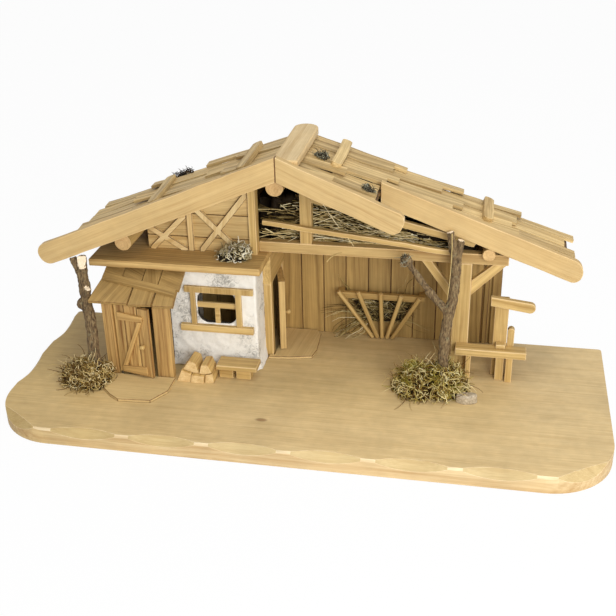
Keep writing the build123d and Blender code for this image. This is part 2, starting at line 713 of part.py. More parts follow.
# Roof boards
OVERHANG_DOWN = (OVERHANG_X - RIDGE_X) / cos(RIGHT_PITCH)
with BuildPart() as left_roof_boards:
    along_y(
        [
            on_slope(-1, 0, 0),
            on_slope(-1, LEFT_LENGTH - DECK_SET_BACK, 0),
            on_slope(-1, LEFT_LENGTH - DECK_SET_BACK, DECK_T),
            on_slope(-1, 0, DECK_T),
        ],
        BARGE_BACK,
        ROOF_BACK - 1,
    )

with BuildPart() as right_roof_boards:
    full = RIGHT_LENGTH - DECK_SET_BACK
    for down, y0, y1 in ((OVERHANG_DOWN - 2, BARGE_BACK, OVERHANG_Y), (full, OVERHANG_Y, ROOF_BACK - 1)):
        along_y(
            [on_slope(1, 0, 0), on_slope(1, down, 0), on_slope(1, down, DECK_T), on_slope(1, 0, DECK_T)],
            y0,
            y1,
        )


# Shingles, head to foot of each slope
LEFT_LAID = strips(LEFT_STRIPS, LEFT_LENGTH, BARGE_BACK, LEFT_SHINGLE_BACK)
FRONT_LAID = strips(FRONT_STRIPS, OVERHANG_DOWN - 5.5, BARGE_BACK, OVERHANG_Y)
RIGHT_LAID = strips(RIGHT_STRIPS, RIGHT_LENGTH, OVERHANG_Y, ROOF_BACK)
with BuildPart() as left_shingles:
    lay_shingles(-1, LEFT_LAID)

with BuildPart() as right_shingles:
    lay_shingles(1, FRONT_LAID)
    lay_shingles(1, RIGHT_LAID)

# Ridge cap with a round back end
CAP_Z = DECK_Z + (DECK_T + FIT + SHINGLE_T) * cos(RIGHT_PITCH) + FIT
with BuildPart() as ridge_cap:
    with BuildSketch(Plane.XY.offset(CAP_Z)) as cap_outline:
        cap_front = BARGE_BACK + FIT
        cap_round = ROOF_BACK - CAP_W / 2
        with Locations((CAP_X, (cap_front + cap_round) / 2)):
            Rectangle(CAP_W, cap_round - cap_front)
        with Locations((CAP_X, cap_round)):
            Circle(CAP_W / 2)
    extrude(amount=CAP_T)

# Weights laid on the shingles, front to back
BOTH_RIGHT = FRONT_LAID + RIGHT_LAID
with BuildPart() as roof_weights:
    for side, laid, down, y, length, turn in (
        (1, BOTH_RIGHT, 50, 92, 86, 0),
        (1, BOTH_RIGHT, 232.5, 105.5, 66, 1),
        (-1, LEFT_LAID, 168, 70, 96, 4),
        (-1, LEFT_LAID, 51, 78, 96, 1),
    ):
        with BuildSketch(on_shingles(side, laid, down, y, length, WEIGHT_W, turn)) as weight_outline:
            RectangleRounded(length, WEIGHT_W, WEIGHT_W / 2 - 1)
        extrude(amount=WEIGHT_T)


def barge(side, pitch, top_x, top_z, length, y, tip_round, heel_round):
    """A barge board with an upright cut at its upper end and a rounded lower end."""
    reach = length + BARGE_W / 2
    end_x = top_x + side * reach * cos(pitch)
    end_z = top_z - reach * sin(pitch)
    low_x = end_x - side * BARGE_W * sin(pitch)
    low_z = end_z - BARGE_W * cos(pitch)
    with BuildSketch(Plane.XZ.offset(-y - BARGE_T)) as board:
        with BuildLine():
            Polyline(
                (top_x, top_z),
                (end_x, end_z),
                (low_x, low_z),
                (top_x, top_z - BARGE_W / cos(pitch)),
                close=True,
            )
        make_face()
        fillet(board.vertices().sort_by_distance((end_x, end_z, 0))[0], tip_round)
        fillet(board.vertices().sort_by_distance((low_x, low_z, 0))[0], heel_round)
    extrude(board.sketch, amount=BARGE_T)


with BuildPart() as left_barge_board:
    barge(-1, LEFT_PITCH, MITRE_X, MITRE_Z, LEFT_BARGE_LENGTH, BARGE_Y, BARGE_END_R, BARGE_END_R)

with BuildPart() as right_front_barge_board:
    barge(1, LEFT_PITCH, MITRE_X, MITRE_Z, FRONT_BARGE_LENGTH, BARGE_Y, SHORT_END_R, SHORT_END_R)

with BuildPart() as right_rear_barge_board:
    rear_length = (REAR_BARGE_END - REAR_BARGE_X) / cos(RIGHT_PITCH)
    barge(1, RIGHT_PITCH, REAR_BARGE_X, REAR_BARGE_Z, rear_length, REAR_BARGE_Y, REAR_TIP_R, REAR_HEEL_R)

# Two twig trees that prop the barge boards
LEFT_TRUNK = [
    (-255, -28, FLOOR + 0.6),
    (-256, -27, 45),
    (-256.6, -25, 72),
    (-258.2, -21, 97),
    (-262.3, -16, 121),
    (-264.8, -12, 145),
    (-265.5, -10.5, 157),
]
with BuildPart() as left_tree:
    with BuildLine() as left_trunk:
        FilletPolyline(*LEFT_TRUNK, radius=60)
    with BuildSketch(Plane(origin=left_trunk.line @ 0, z_dir=left_trunk.line % 0)):
        Circle(LEFT_TRUNK_R)
    sweep()
    rod((-265.2, -11, 150), (-264.8, -8, 174.5), 5.4)
    split(bisect_by=Plane(origin=(-264.8, -11.5, 168.5), z_dir=(0.15, -0.8, 0.55)), keep=Keep.BOTTOM)
    rod((-266.5, -9.5, 146), (-277.4, -5, 171), 4.2)
    rod((-261, -18, 118), (-256.5, -20, 138), 3.0)
    with Locations((-267.5, -15, 116)):
        Sphere(7.5)

RIGHT_TRUNK = [
    (158, 10, FLOOR + 0.8),
    (159, 13, 55),
    (159.2, 19, 84),
    (161.2, 25, 107),
    (166, 31, 130),
    (166.4, 36, 153.5),
    (167.6, 39, 174),
]
with BuildPart() as right_tree:
    with BuildLine() as right_trunk:
        FilletPolyline(*RIGHT_TRUNK, radius=60)
    with BuildSketch(Plane(origin=right_trunk.line @ 0, z_dir=right_trunk.line % 0)):
        Circle(RIGHT_TRUNK_R)
    sweep()
    rod((167.4, 38.5, 170), (158.2, 43, 209.5), 4.4)
    rod((167.4, 38.5, 168), (171.5, 42, 201), 4.4)
    rod((163, 27, 112), (137, 32, 140.6), 4.2)
    rod((138, 32, 139.5), (112, 35, 173), 3.3)
    rod((113.2, 34.6, 171.4), (108.6, 35.2, 178.4), 5.4)

# Moss and lichen as plain closed forms
with BuildPart() as left_moss:
    dome(-274, -31, FLOOR, 23, 22)
    dome(-260, -35, FLOOR, 22, 27)
    dome(-249, -39, FLOOR, 14, 14)
    split(bisect_by=Plane.XY.offset(FLOOR), keep=Keep.TOP)
    with Locations((-255.5, -27.5, FLOOR + 20)):
        Cylinder(LEFT_TRUNK_R + MOSS_GAP, 40, mode=Mode.SUBTRACT)
    block(-241, -150, -80, -10, FLOOR, FLOOR + STEP_T + 0.5, Mode.SUBTRACT)

with BuildPart() as right_moss:
    dome(130, 9, FLOOR, 26, 30)
    dome(158, 11, FLOOR, 25, 34)
    dome(178, 14, FLOOR, 12, 12)
    dome(115, 7, FLOOR, 13, 14)
    split(bisect_by=Plane.XY.offset(FLOOR), keep=Keep.TOP)
    with Locations((158.5, 11.5, FLOOR + 20)):
        Cylinder(RIGHT_TRUNK_R + MOSS_GAP, 40, mode=Mode.SUBTRACT)

with BuildPart() as shelf_moss:
    dome(-103, 28, SHELF_TOP, 13, 14)
    dome(-88, 29, SHELF_TOP, 13, 20)
    split(bisect_by=Plane.XY.offset(SHELF_TOP), keep=Keep.TOP)

with BuildPart() as roof_tufts:
    for side, laid, down, y, radius in (
        (1, BOTH_RIGHT, 31, 72, 8),
        (1, BOTH_RIGHT, 95, 30, 7),
        (-1, LEFT_LAID, 161, 127, 8),
    ):
        with BuildSketch(on_shingles(side, laid, down, y, 2 * radius, 2 * radius)):
            Circle(radius)
        extrude(amount=5)

with BuildPart() as pebble:
    with BuildSketch(Plane.XY.offset(FLOOR)):
        with Locations(Location((189, -9, 0), (0, 0, 8))):
            Ellipse(12.5, 6.4)
    extrude(amount=11)
    fillet(pebble.edges().group_by(Axis.Z)[-1], 3.0)

# Right bay: post, braces, low bench, fence pieces
POST_END = RIGHT_POST_LEFT + RIGHT_POST_W
with BuildPart() as right_post:
    block(RIGHT_POST_LEFT, POST_END, BEAM_Y, BEAM_Y + BEAM_D, FLOOR, SHELF_TOP)

with BuildPart() as right_braces:
    y0 = BEAM_Y + 2
    y1 = BEAM_Y + BEAM_D - 2
    along_y([(POST_END, 124), (BEAM_RIGHT - 2, SHELF_TOP), (POST_END + 24, SHELF_TOP), (POST_END, 143)], y0, y1)
    left = RIGHT_POST_LEFT
    along_y([(left, 112), (left, 128), (left - 27, SHELF_TOP), (left - 38.5, SHELF_TOP)], y0, y1)

with BuildPart() as fence_rails:
    block(171, 254, 40, BEAM_Y, 53, 62)
    with BuildSketch(Plane.XZ.offset(-BEAM_Y)):
        with BuildLine():
            Polyline((209, 116.2), (254, 109.7), (254, 122.3), (209, 127.6), close=True)
        make_face()
        with Locations((254, 116)):
            Circle(6.3)
    extrude(amount=7)

with BuildPart() as fence_posts:
    block(184, 190, 44, 50, FLOOR, 53)
    block(219, 229, 46, 56, FLOOR, 53)
    block(231, 239, 42, 50, FLOOR, 53)
    block(214.3, 230.4, BEAM_Y, BEAM_Y + 8, FLOOR, 123)
    block(218, 229, 47, BEAM_Y - 0.4, 62, 67)
    with BuildSketch(Plane.XZ.offset(-BEAM_Y - 8)):
        with Locations((235, (FLOOR + 81) / 2)):
            Rectangle(8, 81 - FLOOR)
        with Locations((235, 81)):
            Circle(4)
    extrude(amount=8)

# Hay rack on the rear wall
with BuildPart() as rack_rail:
    block(17, 128, 118, 124, 80, 88)
    block(17, 25, 124, REAR_FRONT, 80, 88)
    block(120, 128, 124, REAR_FRONT, 80, 88)

with BuildPart() as rack_sticks:
    for low_x, high_x, top in ((61.6, 19, 91), (67.8, 44, 92), (74, 73, 92), (80.2, 99, 90), (87, 122, 88)):
        rod((low_x, 127, FLOOR + 1.8), (high_x, 127 - 0.196 * (top - FLOOR), top), RACK_STICK_R)

with BuildPart() as rack_hay:
    along_y([(50, 44), (98, 44), (116, 78), (30, 78)], 127.5, REAR_FRONT - 0.3)

# Bench under the window and a pile of split logs
with BuildPart() as bench_seat:
    block(-111, -61, -7, 17, 34, 40)

with BuildPart() as bench_legs:
    block(-109, -92, -1, 13, FLOOR, 34)
    block(-88, -70, -1, 13, FLOOR, 34)

with BuildPart() as firewood:
    along_y([(-158, FLOOR), (-141, FLOOR), (-139.4, 31), (-152, 35)], -17, 8)
    along_y([(-140.4, FLOOR), (-124, FLOOR), (-123.3, 30), (-138.8, 31)], -19, 6)
    along_y([(-123.2, FLOOR), (-112, FLOOR), (-113, 33), (-122.4, 30)], -16, 9)
    along_y([(-150.6, 35.3), (-139, 31.7), (-131, 31.2), (-134, 45), (-142, 48)], -14, 10)
    along_y([(-130, 31.2), (-122.6, 30.6), (-114.5, 33.4), (-119, 44), (-127, 43)], -15, 8)

pieces = {
    "base_board": base_board,
    "door_steps": door_steps,
    "rear_wall_planks": rear_wall_planks,
    "house_front_wall": house_front_wall,
    "house_side_wall": house_side_wall,
    "house_left_wall": house_left_wall,
    "door_jambs": door_jambs,
    "door_lintel": door_lintel,
    "house_door_leaf": house_door_leaf,
    "house_door_knob": house_door_knob,
    "window_casing": window_casing,
    "window_sill": window_sill,
    "window_bars": window_bars,
    "shed_posts": shed_posts,
    "shed_lintel": shed_lintel,
    "shed_left_wall": shed_left_wall,
    "shed_roof_lower": shed_roof_lower,
    "shed_roof_upper": shed_roof_upper,
    "shed_roof_lath": shed_roof_lath,
    "shed_door_planks": shed_door_planks,
    "shed_door_braces": shed_door_braces,
    "shed_door_knob": shed_door_knob,
    "hinge_pins": hinge_pins,
    "shelf_board": shelf_board,
    "gable_boards": gable_boards,
    "gable_strips": gable_strips,
    "upper_posts": upper_posts,
    "loft_beam": loft_beam,
    "loft_floor": loft_floor,
    "loft_rail": loft_rail,
    "loft_rafter": loft_rafter,
    "loft_straw": loft_straw,
    "ridge_purlin": ridge_purlin,
    "side_purlins": side_purlins,
    "left_roof_boards": left_roof_boards,
    "right_roof_boards": right_roof_boards,
    "left_shingles": left_shingles,
    "right_shingles": right_shingles,
    "ridge_cap": ridge_cap,
    "roof_weights": roof_weights,
    "left_barge_board": left_barge_board,
    "right_front_barge_board": right_front_barge_board,
    "right_rear_barge_board": right_rear_barge_board,
    "left_tree": left_tree,
    "right_tree": right_tree,
    "left_moss": left_moss,
    "right_moss": right_moss,
    "shelf_moss": shelf_moss,
    "roof_tufts": roof_tufts,
    "pebble": pebble,
    "right_post": right_post,
    "right_braces": right_braces,
    "fence_rails": fence_rails,
    "fence_posts": fence_posts,
    "rack_rail": rack_rail,
    "rack_sticks": rack_sticks,
    "rack_hay": rack_hay,
    "bench_seat": bench_seat,
    "bench_legs": bench_legs,
    "firewood": firewood,
}
for name, piece in pieces.items():
    piece.part.label = name
    export_step(piece.part, f"parts/{name}.step")
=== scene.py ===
# %% [markdown]
# # A wooden nativity stable
# The imported model gives every piece its size and place, and this lesson gives the pieces their looks: boards
# with broken edges and running grain, lumpy plaster, bark, moss, lichen and straw. The pieces could be built
# again from measures, but a copy of the frame's own solid can't drift from its place, so most start as one.

# %% Load the frame
import json
from math import cos, pi, radians, sin

import bpy
import numpy as np
from mathutils import Matrix, Vector
from mathutils.bvhtree import BVHTree

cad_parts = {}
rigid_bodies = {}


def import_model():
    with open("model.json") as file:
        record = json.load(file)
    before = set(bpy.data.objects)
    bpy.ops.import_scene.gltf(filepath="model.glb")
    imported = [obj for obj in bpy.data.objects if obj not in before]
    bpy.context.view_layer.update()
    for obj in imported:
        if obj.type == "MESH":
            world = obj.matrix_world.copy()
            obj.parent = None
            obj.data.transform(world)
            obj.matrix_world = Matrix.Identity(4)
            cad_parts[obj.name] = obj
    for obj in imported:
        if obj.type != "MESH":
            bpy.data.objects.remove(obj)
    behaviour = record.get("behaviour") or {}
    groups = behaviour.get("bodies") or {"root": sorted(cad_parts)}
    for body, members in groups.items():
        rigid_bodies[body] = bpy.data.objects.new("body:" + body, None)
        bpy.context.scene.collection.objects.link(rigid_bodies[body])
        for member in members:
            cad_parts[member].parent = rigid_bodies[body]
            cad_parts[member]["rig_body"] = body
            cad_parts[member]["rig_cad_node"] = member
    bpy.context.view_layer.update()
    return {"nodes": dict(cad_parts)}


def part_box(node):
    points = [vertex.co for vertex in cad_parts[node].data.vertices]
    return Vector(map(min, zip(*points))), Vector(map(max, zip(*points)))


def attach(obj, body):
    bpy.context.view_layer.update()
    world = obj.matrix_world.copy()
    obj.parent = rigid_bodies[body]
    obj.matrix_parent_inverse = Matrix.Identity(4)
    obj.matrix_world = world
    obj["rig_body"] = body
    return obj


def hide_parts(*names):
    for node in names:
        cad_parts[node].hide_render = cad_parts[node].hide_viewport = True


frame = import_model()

MM = 0.001

# %% [markdown]
# ## Camera
# The photograph was taken from the front, a little right of the middle and above the roof. A camera could be
# moved by eye until the picture fits. Here its place was worked out from the stable's own corners, so its
# three turns are written as angles: how far it looks down, how far to the left, and how far it is tilted.

# %% Camera
PICTURE_SIDE = 616
FOCAL_PIXELS = 987.0
SENSOR_MM = 36.0
EYE = Vector((0.2040, -0.9934, 0.6393))
LOOK_DOWN = radians(26.99)
LOOK_LEFT = radians(11.47)
TILT = radians(-1.23)

lens = bpy.data.cameras.new("camera")
lens.sensor_width = SENSOR_MM
lens.lens = FOCAL_PIXELS * SENSOR_MM / PICTURE_SIDE
camera = bpy.data.objects.new("camera", lens)
bpy.context.scene.collection.objects.link(camera)
aim = Matrix.Rotation(LOOK_LEFT, 4, "Z") @ Matrix.Rotation(pi / 2 - LOOK_DOWN, 4, "X")
camera.matrix_world = Matrix.Translation(EYE) @ aim @ Matrix.Rotation(TILT, 4, "Z")
bpy.context.scene.camera = camera
print("camera:", round(lens.lens, 1), "mm lens at", [round(x, 3) for x in EYE])

# %% [markdown]
# ## Floor and light
# A pale floor carries the stable's soft shadow. More light could make it white, but would bleach the wood
# too. Instead the camera sees the floor mixed with plain white, so it fades into the white background. A
# large lamp hangs over the stable and lights the roof and the ground, and another stands in front, low
# enough to reach in under the roof. The world's own light fills the rest.

# %% Helpers for every material
def tint(hex_colour):
    """Linear RGBA of an sRGB hex colour."""
    parts = [int(hex_colour[i:i + 2], 16) / 255 for i in (1, 3, 5)]
    return [c / 12.92 if c <= 0.04045 else ((c + 0.055) / 1.055) ** 2.4 for c in parts] + [1.0]


def give(node, sockets):
    """Gives each named socket of a node a value or a link."""
    for socket, value in sockets.items():
        if isinstance(value, bpy.types.NodeSocket):
            node.id_data.links.new(value, node.inputs[socket])
        else:
            node.inputs[socket].default_value = value


def add(tree, kind, sockets=None, out=None, stops=(), **settings):
    """Adds a shader node and returns it or one of its outputs; stops are a ramp's places and colours."""
    node = tree.nodes.new("ShaderNode" + kind)
    for name, value in settings.items():
        setattr(node, name, value)
    give(node, sockets or {})
    if stops:
        marks = node.color_ramp.elements
        marks.remove(marks[1])
        marks[0].position = stops[0][0]
        marks[0].color = tint(stops[0][1])
        for place, colour in stops[1:]:
            marks.new(place).color = tint(colour)
    return node if out is None else node.outputs[out]


def blank(name):
    """A new material: itself, its tree and its surface shader."""
    material = bpy.data.materials.new(name)
    material.use_nodes = True
    return material, material.node_tree, material.node_tree.nodes["Principled BSDF"]


def seen(tree):
    """One for rays that the camera sees, straight or as a reflection, and nought for rays of light."""
    rays = add(tree, "LightPath").outputs
    return add(tree, "Math", {0: rays["Is Camera Ray"], 1: rays["Is Glossy Ray"]}, 0, operation="ADD")


# %% Floor and world
FLOOR_SIDE = 12.0
FLOOR_WHITE = 0.95   # share of plain white in the floor that the camera sees
WORLD_STRENGTH = 0.44

# Matt paper gives the eye nothing but the soft shadow that lies on it.
floor_paper, tree, shader = blank("white_studio_paper")
give(shader, {"Base Color": tint("#EFEFEF"), "Roughness": 0.9})
share = add(tree, "Math", {0: seen(tree), 1: FLOOR_WHITE}, 0, operation="MULTIPLY")
white = add(tree, "Emission", {"Color": tint("#FFFFFF"), "Strength": 1.0}, 0)
paper = add(tree, "MixShader", {0: share, 1: shader.outputs[0], 2: white}, 0)
give(tree.nodes["Material Output"], {"Surface": paper})

bpy.ops.object.select_all(action="DESELECT")
bpy.ops.mesh.primitive_plane_add(size=FLOOR_SIDE, location=(0, 0, 0))
floor = bpy.context.object
floor.name = "floor"
floor.data.materials.append(floor_paper)

world = bpy.data.worlds.new("studio")
world.use_nodes = True
bpy.context.scene.world = world
tree = world.node_tree
level = add(tree, "MapRange", {"Value": seen(tree), "To Min": WORLD_STRENGTH, "To Max": 1.0}, 0)
give(tree.nodes["Background"], {"Color": tint("#FFFFFF"), "Strength": level})
print("floor:", FLOOR_SIDE, "m, world strength", WORLD_STRENGTH)

# %% Lamps
FRONT_WATTS = 24.0
TOP_WATTS = 13.0
LAMP_TARGET = Vector((0.0, 0.0, 0.12))


def lamp(name, place, side, watts):
    """A square soft lamp that looks at the stable."""
    light = bpy.data.lights.new(name, "AREA")
    light.size = side
    light.energy = watts
    holder = bpy.data.objects.new(name, light)
    bpy.context.scene.collection.objects.link(holder)
    holder.location = place
    holder.rotation_euler = (LAMP_TARGET - Vector(place)).to_track_quat("-Z", "Y").to_euler()


lamp("front_lamp", (0.85, -1.45, 0.68), 0.9, FRONT_WATTS)
lamp("top_lamp", (0.40, -0.35, 1.85), 1.2, TOP_WATTS)
bpy.context.scene.view_settings.view_transform = "Standard"
print("lamps: front", FRONT_WATTS, "W, top", TOP_WATTS, "W")

# %% [markdown]
# ## Spruce
# The stable is planed and oiled spruce: pale early wood, fine darker late wood, a few small knots. Stripes
# painted along each board would do from the front, but a board is a slice of a log, and rings round the
# log's heart also give the arches where the cut leans and the arcs on a sawn end. So each board carries its
# own coordinates, which run along, across and through it, in an attribute named grain, and a number named
# tone, because no two boards have the same shade. Planed spruce is a quiet wood: the rings stay faint, and
# broad soft streaks do the most.

# %% Rings and fibres
RING_MM = 3.6        # growth rings, a little wider than on real spruce so that they show
LATE_WOOD_POWER = 3.0
FIBRE_MM = 1.0       # fibres, drawn coarser than the real tenth of a millimetre
FIBRE_LENGTH_MM = 55.0
FIBRE_SHARE = 0.38
STREAK_MM = 7.0
STREAK_LENGTH_MM = 230.0
WANDER_MM = 170.0    # rings drift sideways over this length
DRIFT_MM = 5.0
WAVE_UNIT = 2 * pi / 20    # a wave texture of this scale has one ring in each metre
MOST_OF_NOISE = {"From Min": 0.3, "From Max": 0.7}


def per_mm(along, across):
    """Scale of a pattern that repeats every so many millimetres along and across the grain."""
    return (1 / (along * MM), 1 / (across * MM), 1 / (across * MM))


def running_grain(tree, grain, rings, streaks):
    """Drifting coordinates of the wood, its darkness, its late wood and its fibres."""
    long_way = per_mm(WANDER_MM, 4 * DRIFT_MM)
    slow = add(tree, "VectorMath", {0: grain, 1: long_way}, 0, operation="MULTIPLY")
    wander = add(tree, "TexNoise", {"Vector": slow, "Scale": 1.0, "Detail": 2.0}, "Color")
    drift = (0.0, DRIFT_MM * MM, DRIFT_MM * MM)
    bent = add(tree, "VectorMath", {0: wander, 1: drift, 2: grain}, 0, operation="MULTIPLY_ADD")
    wave = {"Scale": WAVE_UNIT / (RING_MM * MM), "Distortion": 1.5, "Detail": 2.0, "Detail Scale": 0.4}
    ring = add(
        tree, "TexWave", {"Vector": bent, **wave}, "Fac",
        wave_type="RINGS", rings_direction="X", wave_profile="SIN",
    )
    late_wood = add(tree, "Math", {0: ring, 1: LATE_WOOD_POWER}, 0, operation="POWER")
    dark = add(tree, "Math", {0: late_wood, 1: rings}, 0, operation="MULTIPLY")
    for along, across, share in (
        (STREAK_LENGTH_MM, STREAK_MM, streaks), (FIBRE_LENGTH_MM, FIBRE_MM, FIBRE_SHARE)
    ):
        scaled = add(tree, "VectorMath", {0: bent, 1: per_mm(along, across)}, 0, operation="MULTIPLY")
        fibre = add(tree, "TexNoise", {"Vector": scaled, "Scale": 1.0, "Detail": 3.0}, "Fac")
        shown = add(tree, "MapRange", {"Value": fibre, **MOST_OF_NOISE, "To Max": share}, 0)
        dark = add(tree, "Math", {0: dark, 1: shown}, 0, operation="ADD")
    return bent, dark, late_wood, fibre


# %% Knots, fading and shade
KNOT_MM = 40.0       # one possible knot in each cell of this width
KNOT_LENGTH_MM = 75.0
KNOT_SPOT = {"From Min": 0.05, "From Max": 0.12, "To Min": 0.7, "To Max": 0.0}    # in cells, and how brown
KNOT_BROWN = "#80582E"
BLOTCH_MM = 55.0
SMUDGE_MM = 11.0
# The base board gets painted shade: darker on its left, where less light falls, and darker round the
# house, whose walls keep light off the ground. Each painted shade has a colour to multiply by, and the
# places on an axis, in millimetres, where it is full and gone.
LEFT_SHADE = ("#F0EBDA", (("X", -330.0, -60.0),))
HOUSE_SHADE = ("#F0EFE9", (("Y", -10.0, -85.0), ("X", 190.0, 270.0)))


def knotted(tree, bent, wood, knots):
    """Wood with a few knots, which have a given chance in each cell."""
    scale = per_mm(KNOT_LENGTH_MM, KNOT_MM)
    cells = add(tree, "VectorMath", {0: bent, 1: scale}, 0, operation="MULTIPLY")
    knot = add(tree, "TexVoronoi", {"Vector": cells, "Scale": 1.0, "Randomness": 1.0}).outputs
    chance = add(tree, "SeparateColor", {"Color": knot["Color"]}, "Red")
    chosen = add(tree, "Math", {0: chance, 1: knots}, 0, operation="LESS_THAN")
    near = {"Value": knot["Distance"], **KNOT_SPOT}
    spot = add(tree, "MapRange", near, 0, interpolation_type="SMOOTHSTEP")
    shown = add(tree, "Math", {0: spot, 1: chosen}, 0, operation="MULTIPLY")
    return add(tree, "Mix", {0: shown, 6: wood, 7: tint(KNOT_BROWN)}, 2, data_type="RGBA")


def shaded_along(tree, place, wood, painted_shades):
    """Wood under painted shades that fade along an axis of the stable."""
    for colour, limits in painted_shades:
        share = 1.0
        for axis, full, gone in limits:
            along = add(tree, "SeparateXYZ", {"Vector": place}, axis)
            fade = {"From Min": full * MM, "From Max": gone * MM, "To Min": 1.0, "To Max": 0.0}
            here = add(tree, "MapRange", {"Value": along, **fade}, 0)
            share = add(tree, "Math", {0: share, 1: here}, 0, operation="MULTIPLY")
        mix = {0: share, 6: wood, 7: tint(colour)}
        wood = add(tree, "Mix", mix, 2, data_type="RGBA", blend_type="MULTIPLY")
    return wood


def shaded(tree, place, wood, spread, blotches):
    """Wood lighter or darker by the board's own tone, by blotches and by smaller smudges."""
    tone = add(tree, "Attribute", out="Fac", attribute_name="tone")
    value = add(tree, "MapRange", {"Value": tone, "To Min": 1 - spread, "To Max": 1 + spread}, 0)
    for size, share in ((BLOTCH_MM, blotches), (SMUDGE_MM, 0.5 * blotches)):
        noise = {"Vector": place, "Scale": 1 / (size * MM), "Detail": 3.0}
        cloud = add(tree, "TexNoise", noise, "Fac")
        limits = {"Value": cloud, **MOST_OF_NOISE, "To Min": 1 - share, "To Max": 1 + share}
        level = add(tree, "MapRange", limits, 0)
        value = add(tree, "Math", {0: value, 1: level}, 0, operation="MULTIPLY")
    return add(tree, "HueSaturation", {"Color": wood, "Value": value}, 0)


# %% Spruce
PALE_UNTIL = 0.18    # the share of darkness that leaves the wood pale
SPRUCE_IOR = 1.5
SATIN = (0.5, 0.72)    # roughness between and on the fibres
RELIEF_MM = 0.22


def spruce(
    name, pale, deep, rings=0.22, streaks=0.55, knots=0.1, spread=0.07, blotches=0.06, painted_shades=()
):
    """Oiled spruce between a pale and a deep tone; the shares say how far each pattern shows."""
    material, tree, shader = blank(name)
    grain = add(tree, "Attribute", out="Vector", attribute_name="grain")
    place = add(tree, "TexCoord", out="Object")
    bent, dark, late_wood, fibre = running_grain(tree, grain, rings, streaks)
    wood = add(tree, "ValToRGB", {"Fac": dark}, "Color", ((PALE_UNTIL, pale), (1.0, deep)))
    wood = shaded_along(tree, place, knotted(tree, bent, wood, knots), painted_shades)
    colour = shaded(tree, place, wood, spread, blotches)
    sheen = add(tree, "MapRange", {"Value": fibre, "To Min": SATIN[0], "To Max": SATIN[1]}, 0)
    raised = add(tree, "Math", {0: late_wood, 1: fibre}, 0, operation="ADD")
    bump = add(tree, "Bump", {"Height": raised, "Strength": 0.3, "Distance": RELIEF_MM * MM}, 0)
    give(shader, {"Base Color": colour, "Roughness": sheen, "IOR": SPRUCE_IOR, "Normal": bump})
    return material


# %% Spruce finishes
# Planed and sanded: a calm satin face with faint broad lines.
BARGE = spruce("planed_spruce_barge", "#CAAC75", "#A9854C", rings=0.14, streaks=0.32, knots=0.14)
# Planed and bleached on the ridge: the palest board of the roof.
CAP = spruce("planed_spruce_cap", "#DEC493", "#B8955C", rings=0.12, streaks=0.4, knots=0.05)
# Split and not sawn: strong stripes, and a shade of its own for each shingle.
SHINGLE = spruce(
    "split_spruce_shingle", "#DDC086", "#8C6C36", rings=0.1, streaks=0.65, spread=0.15, blotches=0.1
)
# Painted shade: so dark that the loft and the shed look deep.
UNDERSIDE = spruce("painted_shade_spruce_underside", "#6E5230", "#43301A", spread=0.05)
# Sawn and oiled: warm yellow sticks with a plain grain.
FRAME = spruce("oiled_spruce_frame", "#D2B272", "#A07C3E", spread=0.09)
# Smoked: a redder board whose rings show.
SHELF = spruce("smoked_spruce_shelf", "#D2B070", "#A07A42", rings=0.3)
# Smoked: a dull brown beside the oiled posts.
BEAM = spruce("smoked_spruce_beam", "#C6A86D", "#98743F")
# Oiled, with painted light: the boards behind the strips of the gable are made lighter, as if lit under the
# eave.
GABLE = spruce("oiled_spruce_gable_painted_light", "#D9BA7E", "#A9854A", spread=0.1)
# Bare: pale strips that stand out on the gable.
STRIP = spruce("pale_spruce_strip", "#EACF98", "#C6A265", spread=0.06)
# Smoked: brown planks, each of another shade, with more knots; part of their brown is painted shade.
WALL = spruce("smoked_spruce_wall_painted_shade", "#B59456", "#7C5E2C", streaks=0.45, spread=0.13, knots=0.16)
# Weathered: brown and blotched, with few lines.
SHED = spruce(
    "weathered_spruce_shed", "#AC8C53", "#74582A", rings=0.12, streaks=0.44, spread=0.1, blotches=0.14
)
# Rough from the saw: strong stripes between honey and brown.
DOOR = spruce("rough_spruce_door", "#E2BC76", "#8A602E", rings=0.2, streaks=0.75, knots=0.06, spread=0.1)
# Rough from the saw: striped like the door, but quieter.
POST = spruce("rough_spruce_post", "#D9B26E", "#926A36", rings=0.2, streaks=0.7, spread=0.08)
# Planed wide and oiled: soft clouds and hardly a ring, with painted shade on the left and round the house.
BASE = spruce(
    "oiled_spruce_base", "#DDC28E", "#B7965E", rings=0.04, streaks=0.24, knots=0.06, blotches=0.10,
    painted_shades=(LEFT_SHADE, HOUSE_SHADE),
)
# Thin oiled plates: as smooth as the base and a shade darker.
STEP = spruce("oiled_spruce_step", "#CDB27C", "#A98A54", rings=0.04, streaks=0.24, knots=0.0, spread=0.04)
# Gouged: smooth hollows with a few long lines, and painted shade on the left.
SCOOP = spruce(
    "gouged_spruce", "#CDB480", "#AC8C54", rings=0.05, streaks=0.4, knots=0.0, painted_shades=(LEFT_SHADE,)
)
# Sawn and left bare: a pale rim with clear grain, and painted shade on the left.
RIM = spruce(
    "sawn_spruce_rim", "#DFC594", "#B8925C", rings=0.15, streaks=0.6, knots=0.0, painted_shades=(LEFT_SHADE,)
)
# Freshly cut: the palest wood of all, with clear rings.
FRESH = spruce("fresh_cut_spruce", "#EFDBB1", "#D3B07A", rings=0.3, streaks=0.4, knots=0.0)
# Rubbed by sandpaper and hands: a pale line along an edge.
RUBBED = spruce("rubbed_spruce_edge", "#E0C490", "#BC965A", rings=0.1, streaks=0.5, knots=0.0)
# Weathered end grain: soft arcs of rings.
LOG_END = spruce("weathered_log_end", "#D0AC74", "#A07A44", rings=0.14, streaks=0.4, knots=0.0)
# Painted shade in a joint: a dark line between two boards, where shadow falls.
JOINT_SHADE = spruce("painted_shade_spruce_joint", "#866234", "#4E3418", rings=0.1, streaks=0.5, knots=0.0)
print("spruce finishes:", len([m for m in bpy.data.materials if "spruce" in m.name]))
